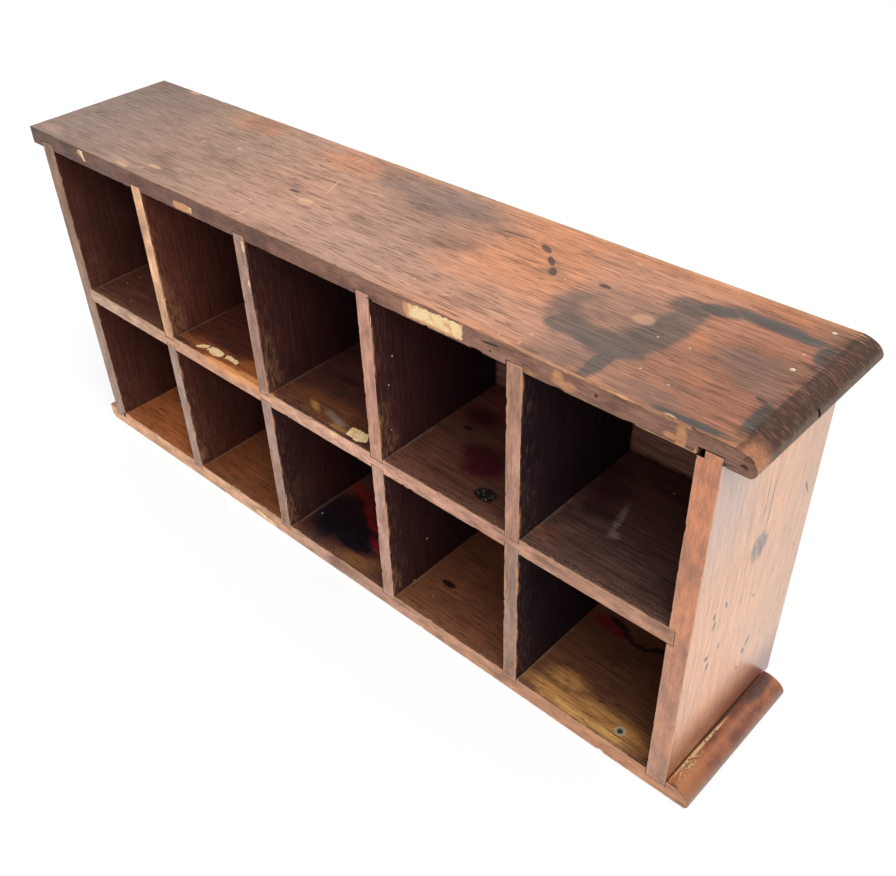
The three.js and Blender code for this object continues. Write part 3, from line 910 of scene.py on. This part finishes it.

# %% [markdown]
# ## Finish of the sides
# The outer face of a side is the cleanest wood on the sorter, and its varnish still shines. Seen
# along the face it mirrors the white floor, which a thin coat on the shader gives. Low down, next
# to the base, a painted reflection of the brown base makes the wood browner. Small dark dashes and
# a grey smudge mark the right side.

# %% Side finishes
SIDE_MARKS = [
    (-38, 137, 1.1, 3.0, 12), (-36.4, 129, 1.2, 3, -14), (-26, 137, 1.0, 3, 18),
    (-38.5, 104, 1.6, 2.2, 30), (-35.6, 95, 1.3, 2.8, -12), (-26, 104, 0.7, 3.2, 12),
    (13.3, 75, 1.6, 4, -24), (9.8, 69, 1.6, 3, 20), (6, 57, 0.7, 2.0, 20),
    (7.5, 118, 0.8, 1.6), (50, 127, 0.8, 1.2), (48, 172, 0.9, 7, 30),
]
SIDE_PORE_DEPTH = 0.00015
SIDE_COAT_ROUGHNESS = 0.2
SIDE_SMUDGES = [(0, 161, 8.0, 10.0, 14), (4, 192, 0.7, 22), (-3, 196, 0.6, 18)]


def oak_side(name, outward, outer, fronts, gloss, coat):
    """Side board: outward is 1 for the right side and -1 for the left one."""
    material, shader, place, facing = start_finish(name)
    x, y, z = place
    rings, streaks, pores = oak_grain(z, y, x)
    rim = rough_edge(place, 9.0)
    cloud = noise((x / 30.0, y / 22.0, z / 40.0), 3.0, 0.6)
    factor = grain_factor(rings, streaks)
    # The inner face gets the same painted shade, almost black towards the back of the pigeonholes.
    inner = with_back_shade(shaded((82, 45, 37), factor * (cloud * 0.9 + 0.55)), y, 0.8)
    inner = mix(dusting(y, z, rim) * 0.4, inner, (128, 100, 82))
    clean = shaded(outer, grain_factor(rings, streaks, 0.9) * (cloud * 0.3 + 0.87))
    clean = mix(pores * 0.3, clean, (136, 88, 64))
    clean = shaded(clean, 1.0 - step(y, 0.0, 50.0) * 0.16)
    long_pores = noise((z * 0.09, y * 1.3, x * 1.3), 1.0)
    clean = mix(step(long_pores, 0.66, 0.74) * 0.5, clean, (124, 76, 56))
    grey = (1.0 - step(y + rim * 26.0, -44.0, 2.0)) * step(z + rim * 60.0, 150.0, 225.0)
    clean = mix(grey * 0.5, clean, (168, 160, 158))
    if outward > 0:
        smudged = blots((y, z), SIDE_SMUDGES, 0.3, rim * 0.6)
        hatched = noise((y / 1.6, z / 6.0, x), 3.0, 0.7)
        clean = mix(smudged * step(hatched, 0.3, 0.52) * 0.9, clean, (70, 54, 52))
        marks = blots((y, z), SIDE_MARKS, 0.35, rim * 0.5)
        clean = mix(marks * 0.97, clean, (14, 8, 6))
    # Painted reflection of the brown base: the outer face turns browner low down, next to the base.
    low = 1.0 - step(z + rim * 16.0, 18.0, 62.0)
    clean = mix(low * 0.86, clean, (112, 48, 24))
    wood = mix(step(facing[0] * outward, -0.2, 0.4), inner, clean)
    bare = mix(step(z, 60.0, 200.0), *fronts)
    bare = mix(step(cloud, 0.54, 0.7) * 0.45, bare, (118, 78, 58))
    bare = shaded(bare, edge_wear(z, y, x))
    bare = mix(pores * 0.3, bare, (92, 54, 38))
    wood = mix(faces_front(facing), wood, bare)
    wood = mix(chafed_arris(rim, y, 3.0, 0.1, 1.1, -54.0) * 0.4, wood, (214, 164, 130))
    # Painted shade: faces looking up at the top end of a side, under the top board, are painted almost
    # black.
    wood = mix(step(facing[2], 0.5, 0.8) * step(z, 250.0, 252.0), wood, (24, 15, 12))
    finish_oak(shader, wood, pores, streaks, cloud * 0.15 + 0.3, gloss, SIDE_PORE_DEPTH)
    shader.inputs["Coat Weight"].default_value = coat
    shader.inputs["Coat Roughness"].default_value = SIDE_COAT_ROUGHNESS
    return material


right_finish = oak_side(
    "oak_side_right", 1.0, (221, 157, 112), ((192, 126, 90), (206, 126, 82)), 0.5, 0.65
)
left_finish = oak_side(
    "oak_side_left", -1.0, (150, 104, 76), ((168, 137, 118), (152, 114, 92)), 0.15, 0.0
)
print("side finishes:", right_finish.name, left_finish.name)

# %% [markdown]
# ## Cutting the joints
# The uprights stand in housings, shallow trenches cut in the boards that they meet. Each housing
# is where two solids' boxes overlap, with a little play, so a cutter is worked out for each board
# from the boards let into it. Two tongues were sawn too thin, and their square gaps stay open.
# Knocks out of an edge and the nail holes are cut in the same go, with rough lumps and rods.

# %% Cutters
FIT = 0.4
CUT_PAST = 2.0
UPPER = [f"divider_upper_{i}" for i in range(1, 5)]
LOWER = [f"divider_lower_{i}" for i in range(1, 5)]
LET_INTO = {
    "top_board": ["side_left", "side_right", *UPPER],
    "base_board": ["side_left", "side_right", *LOWER],
    "shelf": [*UPPER, *LOWER],
    "side_left": ["shelf", "back_panel"],
    "side_right": ["shelf", "back_panel"],
}
RIGHT_TONGUE_GAP = 4.3
LEFT_TONGUE_GAP = 3.0
PIT_DEPTH = 1.2
PIT_SIDES = 20
KNOCKS = {
    "top_board": [
        ((256, -61, 267), (4, 1.6, 1.2)), ((268.5, -61, 267), (3, 1.4, 1.4)),
        ((298, -61, 264), (2.4, 1.4, 2.0)), ((140, -61, 254.4), (5, 1.4, 1.2)),
        ((232, -61, 267), (5, 1.2, 0.8)), ((212, -61, 267), (4, 1.0, 0.9)),
        ((60, -61, 254.4), (3, 1.6, 1.6)), ((-58, -61, 254.4), (3, 1.5, 1.2)),
        ((301.5, -5, 258.5), (2.0, 1.6, 4.4)), ((286.6, -61, 255), (1.2, 1.4, 1.6)),
        ((-302, -30, 254), (3, 9, 2.6)), ((-302, -56, 254.5), (3, 5, 2)),
        ((-302, 20, 254), (2.6, 12, 2)), ((296, -61, 259), (2, 1.2, 1.6)),
    ],
    "base_board": [
        ((240, -61, 0), (3.2, 1.8, 1.6)), ((243.5, -61, 1.5), (1.6, 1.2, 1.0)),
        ((-299, -61, 0), (3, 3, 3)), ((-84, -61, 13), (2.6, 1.0, 1.2)),
        ((86, -61, 0), (2.6, 1.2, 1.4)),
    ],
    "shelf": [
        ((-58, -61, 137), (2.4, 1.2, 1.2)), ((54, -61, 127), (3, 1.2, 1.2)),
        ((166, -61, 137), (2, 1.2, 1.4)),
    ],
}
NAIL_GROUPS = {
    "top": [f"nail_top_{i}" for i in range(1, 6)],
    "base": [f"nail_base_{i}" for i in range(1, 5)],
    "back": [f"nail_back_{i}" for i in range(1, 10)],
}
SCREW_DEPTH = 3.0
KNOCK_EVERY = 14.0
KNOCK_SWELL = 0.45
SPLINTER_END_GAP = 6.0
SPLINTER_DEPTHS = (0.5, 1.3)
SPLINTER_LENGTHS = (1.0, 4.6)
SPLINTER_HEIGHTS = (0.4, 1.2)
FAR_FROM_ARRIS = 9.0


def corners(node):
    low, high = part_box(node)
    return low / MM, high / MM


def housing(host, guest):
    """Trench in the host for the guest: the overlap of their boxes, open where the host ends."""
    host_low, host_high = corners(host)
    guest_low, guest_high = corners(guest)
    low, high = Vector(), Vector()
    for i in range(3):
        opens_low = guest_low[i] <= host_low[i] + FIT
        opens_high = guest_high[i] >= host_high[i] - FIT
        low[i] = host_low[i] - CUT_PAST if opens_low else guest_low[i] - FIT
        high[i] = host_high[i] + CUT_PAST if opens_high else guest_high[i] + FIT
    return low, high


def add_block(build, low, high):
    for vertex in bmesh.ops.create_cube(build, size=1.0)["verts"]:
        for i in range(3):
            vertex.co[i] = (low[i] if vertex.co[i] < 0 else high[i]) * MM


def add_knock(build, centre, reach):
    """Rough lump that takes a splinter out of an edge."""
    lump = bmesh.ops.create_icosphere(build, subdivisions=2, radius=1.0)["verts"]
    for vertex in lump:
        swell = 1.0 + KNOCK_SWELL * fixed_noise.noise(vertex.co * 1.7 + Vector(centre))
        for i in range(3):
            vertex.co[i] = (centre[i] + vertex.co[i] * reach[i] * swell) * MM


def front_knocks(board, count, chance):
    """Small splinters lost along the two front arrises of a board, as (middle, reach)."""
    low, high = corners(board)
    longest = 0 if high.x - low.x > high.z - low.z else 2
    short = 2 - longest
    knocks = []
    for _ in range(count):
        middle = Vector((0.0, low.y, 0.0))
        middle[longest] = chance.uniform(
            low[longest] + SPLINTER_END_GAP, high[longest] - SPLINTER_END_GAP
        )
        middle[short] = chance.choice((low[short], high[short]))
        reach = Vector((0.0, chance.uniform(*SPLINTER_DEPTHS), 0.0))
        reach[longest] = chance.uniform(*SPLINTER_LENGTHS)
        reach[short] = chance.uniform(*SPLINTER_HEIGHTS)
        knocks.append((middle, reach))
    return knocks


def tongue_gap(board):
    """Missing part of a tongue that was sawn too thin, as two corners, or None."""
    low, high = corners(board)
    if board == "side_right":
        under_top = corners("top_board")[0].z
        start = (low.x - CUT_PAST, low.y - CUT_PAST, under_top)
        return start, (low.x + RIGHT_TONGUE_GAP, high.y + CUT_PAST, high.z + CUT_PAST)
    if board == "side_left":
        floor = corners("base_board")[1].z
        start = (high.x - LEFT_TONGUE_GAP, low.y - CUT_PAST, low.z - CUT_PAST)
        return start, (high.x + CUT_PAST, high.y + CUT_PAST, floor)
    return None


def add_pit(build, nail, axis, outward, depth):
    """Round hole over a sunk head, open to the outside."""
    low, high = corners(nail)
    middle = (low + high) / 2.0
    top = high[axis] if outward > 0 else low[axis]
    sides = [i for i in range(3) if i != axis]
    radius = (high[sides[0]] - low[sides[0]]) / 2.0
    rod = bmesh.ops.create_cone(
        build, cap_ends=True, segments=PIT_SIDES, radius1=radius, radius2=radius,
        depth=depth + CUT_PAST,
    )["verts"]
    middle[axis] = top + outward * (CUT_PAST - depth) / 2.0
    for vertex in rod:
        turned = Vector()
        turned[sides[0]], turned[sides[1]], turned[axis] = vertex.co
        vertex.co = (middle + turned) * MM
    if axis == 1:
        turned_faces = {face for vertex in rod for face in vertex.link_faces}
        bmesh.ops.reverse_faces(build, faces=list(turned_faces))


OUTWARD = {"top": (2, 1.0), "base": (2, -1.0), "back": (1, 1.0)}
PITS = {"top_board": "top", "base_board": "base", "back_panel": "back"}


def cutter_for(board):
    """Object with every trench, gap, pit and knock of one board."""
    build = bmesh.new()
    blocks = [housing(board, guest) for guest in LET_INTO.get(board, [])]
    if tongue_gap(board):
        blocks.append(tongue_gap(board))
    for low, high in blocks:
        add_block(build, low, high)
    if board in PITS:
        for nail in NAIL_GROUPS[PITS[board]]:
            add_pit(build, nail, *OUTWARD[PITS[board]], PIT_DEPTH)
    if board == "base_board":
        add_pit(build, "screw_base", 2, 1.0, SCREW_DEPTH)
    square_cut = len(build.verts)
    knocks = list(KNOCKS.get(board, []))
    if board != "back_panel":
        length = max(corners(board)[1] - corners(board)[0])
        knocks += front_knocks(board, round(length / KNOCK_EVERY), random.Random(board))
    for centre, reach in knocks:
        add_knock(build, centre, reach)
    mesh = bpy.data.meshes.new(f"cutter_{board}")
    build.to_mesh(mesh)
    build.free()
    stored = mesh.attributes.new("arris", "FLOAT", "POINT")
    inside = [FAR_FROM_ARRIS if i < square_cut else 0.0 for i in range(len(mesh.vertices))]
    stored.data.foreach_set("value", inside)
    cutter = link_object(f"cutter_{board}", mesh)
    cutter.hide_render = True
    return cutter


print("boards with trenches:", list(LET_INTO))

# %% [markdown]
# ## The boards
# Each board names how many rows of vertices it gets along its three sides, how far its arrises
# are rounded, how deep they are chipped, and its finish. The long boards with a nosing use the
# same tree, with the nosing switched on. A board then stands for its solid in the frame.

# %% Boards
HOLLOWS = 0.18
BOARDS = {
    "top_board": ((300, 48, 20), 0.5, 1.2, 1.0, top_finish, "oak_case"),
    "base_board": ((300, 46, 20), 0.6, 1.1, 1.0, base_finish, "oak_case"),
    "side_left": ((16, 52, 110), 0.5, 0.9, 0.0, left_finish, "oak_case"),
    "side_right": ((16, 52, 110), 0.5, 0.9, 0.0, right_finish, "oak_case"),
    "shelf": ((260, 48, 14), 0.45, 0.9, 0.0, shelf_finish, "oak_inner"),
    "back_panel": ((200, 11, 90), 0.6, 1.0, 0.0, back_finish, "oak_back"),
}
for divider in UPPER + LOWER:
    BOARDS[divider] = ((14, 50, 60), 0.4, 0.9, 0.0, divider_finish, "oak_inner")

for number, (node, board) in enumerate(BOARDS.items()):
    rows, arris, chips, nose, finish, slot = board
    low, high = corners(node)
    cutter = cutter_for(node)
    piece = run_tree(f"worn_{node}", board_tree, {
        "Low corner": low, "High corner": high,
        "Rows X": rows[0], "Rows Y": rows[1], "Rows Z": rows[2],
        "Arris radius": arris, "Chip depth": chips, "Hollows": HOLLOWS,
        "Seed": float(number + 1), "Nose": nose,
        "Has cuts": len(cutter.data.vertices) > 0, "Cutter": cutter, "Finish": finish,
    })
    bpy.data.objects.remove(cutter)
    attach(piece, "root")
    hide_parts(node)
    print(node, len(piece.data.polygons), "faces")

# %% [markdown]
# ## Nails and the screw
# The case is nailed together. The heads are punched a little below the wood, and those in the top
# were filled, so they stand higher in their holes. One nail is drawn in a tree and set on a point
# for each head, turned at random about its own length, so no two hammer marks look alike. The one
# cross-headed screw keeps its solid, which has the right shape already.

# %% Nails
NAIL_INPUTS = {
    "Points": "NodeSocketGeometry",
    "Shank radius": "NodeSocketFloat",
    "Head radius": "NodeSocketFloat",
    "Head height": "NodeSocketFloat",
    "Length": "NodeSocketFloat",
    "Point length": "NodeSocketFloat",
    "Lean": "NodeSocketRotation",
    "Seed": "NodeSocketInt",
    "Finish": "NodeSocketMaterial",
}
DENTS_PER_METRE = 900.0
HEAD_SIDES = 24
SHANK_SIDES = 16


def moved_down(mesh, depth):
    inputs = {"Geometry": mesh, "Translation": join(0.0, 0.0, depth * -1.0)}
    return wire_node(mesh.tree, "GeometryNodeTransform", inputs)


def driven_nail_tree():
    """Tree that sets one round nail on each point, head outwards."""
    tree, given = start_tree("driven_nail", NAIL_INPUTS, "Nails")
    head = wire_node(tree, "GeometryNodeMeshCylinder", {
        "Vertices": HEAD_SIDES, "Side Segments": 3, "Fill Segments": 6,
        "Radius": given["Head radius"], "Depth": given["Head height"],
    })
    place = split(wire_node(tree, "GeometryNodeInputPosition"))
    out = place[0] * place[0] + place[1] * place[1]
    reach = out / (given["Head radius"] * given["Head radius"])
    dents = noise([value * DENTS_PER_METRE for value in place])
    sink = (reach * 0.22 + dents * 0.3) * given["Head height"]
    domed = wire_node(tree, "GeometryNodeSetPosition", {
        "Geometry": head, "Offset": join(0.0, 0.0, sink * -1.0),
    })
    shank_length = given["Length"] - given["Head height"] - given["Point length"]
    shank = wire_node(tree, "GeometryNodeMeshCylinder", {
        "Vertices": SHANK_SIDES, "Radius": given["Shank radius"], "Depth": shank_length,
    })
    point = wire_node(tree, "GeometryNodeMeshCone", {
        "Vertices": SHANK_SIDES, "Radius Top": given["Shank radius"] * 0.12,
        "Radius Bottom": given["Shank radius"], "Depth": given["Point length"],
    })
    tip = wire_node(tree, "GeometryNodeTransform", {
        "Geometry": point, "Rotation": (math.pi, 0.0, 0.0),
    })
    joined = tree.nodes.new("GeometryNodeJoinGeometry")
    parts = [
        moved_down(tip, given["Length"] - given["Point length"]),
        moved_down(shank, given["Head height"] + shank_length * 0.5),
        moved_down(domed, given["Head height"] * 0.5),
    ]
    for part in parts:
        plug(joined.inputs[0], part)
    placed = wire_node(tree, "GeometryNodeInstanceOnPoints", {
        "Points": given["Points"], "Instance": Wire(joined.outputs[0]), "Rotation": given["Lean"],
    })
    inputs = {3: 2.0 * math.pi, "Seed": given["Seed"]}
    spin = wire_node(tree, "FunctionNodeRandomValue", inputs, 1, data_type="FLOAT")
    spun = wire_node(tree, "GeometryNodeRotateInstances", {
        "Instances": placed, "Rotation": join(0.0, 0.0, spin),
    })
    end_tree(spun, given["Finish"])
    return tree


def iron_finish(name, dark, pale, pale_share, left_pale=None):
    """Old iron: dark metal under rust and dust, which may differ left of the middle."""
    material, shader, place, _ = start_finish(name)
    if left_pale is not None:
        pale = mix(step(place[0], -10.0, 10.0), left_pale, pale)
    patch = noise([value / 0.8 for value in place], 3.0, 0.6)
    crust = step(patch, 0.62 - pale_share * 0.5, 0.72 - pale_share * 0.5)
    plug(shader.inputs["Base Color"], mix(crust, dark, pale))
    plug(shader.inputs["Roughness"], crust * 0.3 + 0.4)
    plug(shader.inputs["Metallic"], (1.0 - crust) * 0.8)
    return material


nail_tree = driven_nail_tree()
dusty_iron = iron_finish(
    "dusty_iron", (150, 122, 100), (228, 206, 176), 0.95, (176, 144, 122)
)
rusty_iron = iron_finish("rusty_iron", (110, 100, 94), (96, 62, 44), 0.35)
NAIL_TURN = {"top": 0.0, "base": math.pi, "back": -math.pi / 2.0}
NAIL_LENGTH = {"top": 26.0, "base": 26.0, "back": 18.0}
FILLED = {"top": 0.5, "base": 0.0, "back": 0.0}
SHANK_RADIUS = 0.9
HEAD_RADIUS = 1.6
HEAD_HEIGHT = 1.0
POINT_LENGTH = 3.0
FIRST_SEED = 3

for number, (group, nails) in enumerate(NAIL_GROUPS.items()):
    axis, outward = OUTWARD[group]
    heads = []
    for nail in nails:
        low, high = corners(nail)
        head_place = (low + high) / 2.0
        head_place[axis] = high[axis] if outward > 0 else low[axis]
        head_place[axis] += outward * FILLED[group]
        heads.append(head_place * MM)
    points = bpy.data.meshes.new(f"heads_{group}")
    points.from_pydata(heads, [], [])
    piece = run_tree(f"nails_{group}", nail_tree, {
        "Shank radius": SHANK_RADIUS * MM, "Head radius": HEAD_RADIUS * MM,
        "Head height": HEAD_HEIGHT * MM, "Length": NAIL_LENGTH[group] * MM,
        "Point length": POINT_LENGTH * MM, "Lean": (NAIL_TURN[group], 0.0, 0.0),
        "Seed": number + FIRST_SEED,
        "Finish": dusty_iron if group == "top" else rusty_iron,
    }, points)
    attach(piece, "root")
    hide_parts(*nails)
    print(len(nails), "nails in", piece.name, len(piece.data.polygons), "faces")


RECESS_SHADE_REACH = 2.0


def bright_screw(node):
    """Worn steel head, bright round its rim, with painted shade black in the middle of its cross."""
    material, shader, place, _ = start_finish("screw_finish")
    low, high = corners(node)
    middle = (low + high) / 2.0
    patch = noise([value / 0.8 for value in place], 3.0, 0.6)
    steel = mix(step(patch, 0.4, 0.65), (222, 214, 194), (168, 154, 122))
    # Painted shade: the middle of the cross is painted almost black, as its recess would be in shade.
    recess_shade = (*middle[:2], RECESS_SHADE_REACH, RECESS_SHADE_REACH)
    recess_shade = blot(place[:2], *recess_shade, edge=0.35, wobble=(patch - 0.5) * 0.8)
    steel = mix(recess_shade * 0.92, steel, (46, 38, 28))
    plug(shader.inputs["Base Color"], steel)
    plug(shader.inputs["Roughness"], patch * 0.4 + 0.3)
    plug(shader.inputs["Metallic"], (1.0 - recess_shade) * 0.4)
    return material


screw_finish = bright_screw("screw_base")
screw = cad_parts["screw_base"]
for finish_place in screw.material_slots:
    finish_place.material = screw_finish
print("screw keeps its solid with", len(screw.data.polygons), "faces")

# %% [markdown]
# ## Scraps of paper
# Labels were once glued above the pigeonholes, and torn scraps of them are left, blank and
# yellowed. A scrap is a thin sheet: its outline is walked in short steps, each pushed about by a
# fixed noise so that the edge looks torn, and the sheet is as thick as heavy paper.

# %% Paper scraps
PAPER_THICK = 0.15
PAPER_INSIDE = 0.03
TEAR_STEP = 0.9
TEAR_DEPTH = 1.0
TEAR_ROUGHNESS = 0.7
TEAR_SEED = 7.3
TEAR_SIDEWAYS = Vector((31.7, 5.1, 0.0))
PAPER_FRONT = -61.0 + PAPER_INSIDE
LABEL_TOP = 266.6
STRIP_FRONT = -60.6
FRONT_SCRAPS = {
    "label_left": [
        (-237, 265.8), (-231.5, 266), (-232, 262), (-229.5, 258), (-232.5, 258), (-235, 261.5),
        (-240, 262.2),
    ],
    "label_second": [
        (-124.4, 260.3), (-114.7, 260.9), (-107.6, 260.9), (-104.3, 260.2), (-104.9, 256.5),
        (-115.3, 255.4), (-122, 255.3), (-124.8, 256.7),
    ],
    "label_fourth": [
        (87.4, 264), (104.3, 264.9), (123.1, 265.5), (130.9, 265.7), (130.6, 256.2), (111.2, 255.4),
        (90.6, 255.4), (87.3, 257.7),
    ],
    "drip": [(-55.6, 253.4), (-53.2, 253.4), (-53, 246), (-54.4, 246)],
    "flake": [(-54.6, 226), (-53, 226), (-53, 220.5), (-55, 222)],
    "shelf_edge": [(9, 137.2), (18, 137.2), (17, 133.5), (13, 132)],
    "base_edge": [(-96, 6), (-86, 5.5), (-72, 3), (-71, 1), (-84, 1.4), (-95, 4)],
}
SHELF_SCRAPS = {
    "strip_left": [
        (-142.3, -55.9), (-137.6, -51.2), (-133, -49), (-132.4, -52), (-134.4, -54.6), (-138.9, -56.6),
    ],
    "strip_middle": [
        (-131.6, -54), (-130, -48.8), (-123, -48.5), (-115.8, -49.5), (-114.9, -53.9), (-119.9, -56.4),
        (-126, -55.5),
    ],
    "strip_right": [
        (-113.4, -50), (-108.7, -48.6), (-103.3, -49.2), (-98.5, -50.3), (-98.1, -53.3), (-105, -52.4),
        (-111, -52.8),
    ],
    "yellow_corner": [(20, -49), (35, -48), (39, -55), (33, -58.5), (22, -57)],
}
BROWNED_PAPER = [(-118, 259, 12, 5), (-239, 263, 3.5, 4), (88, 260, 4, 7), (110, 255, 22, 2)]


def old_paper():
    material, shader, place, _ = start_finish("old_paper")
    stain = noise([value / 6.0 for value in place], 4.0, 0.65)
    sheet = mix(step(stain, 0.42, 0.72), (255, 224, 168), (230, 168, 114))
    browned = blots((place[0], place[2]), BROWNED_PAPER, 0.4, (stain - 0.5) * 1.2)
    sheet = mix(browned * 0.8, sheet, (196, 132, 92))
    dirt = specks(place, 2.2, 0.2, 0.12)
    plug(shader.inputs["Base Color"], mix(dirt * 0.6, sheet, (96, 62, 40)))
    plug(shader.inputs["Roughness"], stain * 0.2 + 0.65)
    return material


def torn_outline(outline, number):
    """Points round a scrap, close together and pushed about so the edge looks torn."""
    torn = []
    for start, end in zip(outline, outline[1:] + outline[:1]):
        start, end = Vector(start), Vector(end)
        steps = max(2, round((end - start).length / TEAR_STEP))
        for i in range(steps):
            spot = start.lerp(end, i / steps)
            seed = Vector((*(spot * TEAR_ROUGHNESS), number * TEAR_SEED))
            push = [fixed_noise.noise(seed), fixed_noise.noise(seed + TEAR_SIDEWAYS)]
            torn.append(spot + Vector(push) * TEAR_DEPTH)
    return torn


def paper_scrap(name, outline, number, on_front):
    """Thin torn sheet, on the front of the case or on the shelf."""
    build = bmesh.new()
    shelf_level = SHELF_TOP - PAPER_INSIDE
    rings = []
    for depth in (0.0, PAPER_THICK):
        ring = []
        for u, v in torn_outline(outline, number):
            if on_front:
                spot = Vector((u, PAPER_FRONT + depth, min(v, LABEL_TOP)))
            else:
                spot = Vector((u, max(v, STRIP_FRONT), shelf_level - depth))
            ring.append(build.verts.new(spot * MM))
        rings.append(ring)
    for ring in rings:
        build.faces.new(ring)
    count = len(rings[0])
    for i in range(count):
        after = (i + 1) % count
        build.faces.new((rings[0][i], rings[0][after], rings[1][after], rings[1][i]))
    bmesh.ops.recalc_face_normals(build, faces=build.faces)
    bmesh.ops.triangulate(build, faces=build.faces)
    mesh = bpy.data.meshes.new(name)
    build.to_mesh(mesh)
    build.free()
    mesh.materials.append(paper_finish)
    return link_object(name, mesh)


paper_finish = old_paper()
scraps = [(f"scrap_{name}", outline, True) for name, outline in FRONT_SCRAPS.items()]
scraps += [(f"scrap_{name}", outline, False) for name, outline in SHELF_SCRAPS.items()]
for number, (name, outline, on_front) in enumerate(scraps):
    piece = paper_scrap(name, outline, number, on_front)
    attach(piece, "root")
print(len(scraps), "paper scraps")

# %% [markdown]
# ## Studio
# The sorter stands on a white sheet in even light. A broad lamp hangs above its right front, and
# a white world fills in. Seen straight on, or mirrored in the varnish, floor and world are white,
# and the floor still takes the sorter's soft shadow.

# %% Floor, world and lamp
WORLD_FILL = 0.45
FLOOR_GLOW = 0.62
FLOOR_WHITE = 0.86
FLOOR_WHITE_SEEN = 0.42
FLOOR_HALF = 4.0
FLOOR_LEVEL = -0.0004
LAMP_PLACE = (0.9, -0.6, 1.45)
LAMP_SPREAD = 50.0
LAMP_STRENGTH = 2.3
WHITE = (1.0, 1.0, 1.0, 1.0)


def seen_ray(tree):
    """1 for rays that show the background itself: seen, mirrored or refracted."""
    path = tree.nodes.new("ShaderNodeLightPath")
    kinds = ("Camera", "Glossy", "Transmission")
    camera_ray, mirrored, refracted = [Wire(path.outputs[f"Is {kind} Ray"]) for kind in kinds]
    return camera_ray.over(mirrored).over(refracted)


floor_mesh = bpy.data.meshes.new("floor")
floor_turns = [(-1, -1), (1, -1), (1, 1), (-1, 1)]
floor_corners = [(x * FLOOR_HALF, y * FLOOR_HALF, FLOOR_LEVEL) for x, y in floor_turns]
floor_mesh.from_pydata(floor_corners, [], [(0, 1, 2, 3)])
floor = link_object("floor", floor_mesh)
floor_paper = bpy.data.materials.new("floor_paper")
floor_paper.use_nodes = True
paper_shader = floor_paper.node_tree.nodes["Principled BSDF"]
seen = seen_ray(floor_paper.node_tree)
plug(paper_shader.inputs["Base Color"], seen * (FLOOR_WHITE_SEEN - FLOOR_WHITE) + FLOOR_WHITE)
plug(paper_shader.inputs["Specular IOR Level"], 0.0)
plug(paper_shader.inputs["Emission Color"], WHITE)
plug(paper_shader.inputs["Emission Strength"], seen * FLOOR_GLOW)
floor_mesh.materials.append(floor_paper)

world = bpy.data.worlds.new("white_room")
world.use_nodes = True
bpy.context.scene.world = world
background = world.node_tree.nodes["Background"]
plug(background.inputs["Color"], WHITE)
world_strength = seen_ray(world.node_tree) * (1.0 - WORLD_FILL) + WORLD_FILL
plug(background.inputs["Strength"], world_strength)

lamp_data = bpy.data.lights.new("softbox", "SUN")
lamp_data.angle = math.radians(LAMP_SPREAD)
lamp_data.energy = LAMP_STRENGTH
lamp = bpy.data.objects.new("softbox", lamp_data)
lamp.location = LAMP_PLACE
lamp.rotation_euler = (-lamp.location).to_track_quat("-Z", "Y").to_euler()
bpy.context.scene.collection.objects.link(lamp)
print("lamp strength", lamp_data.energy)
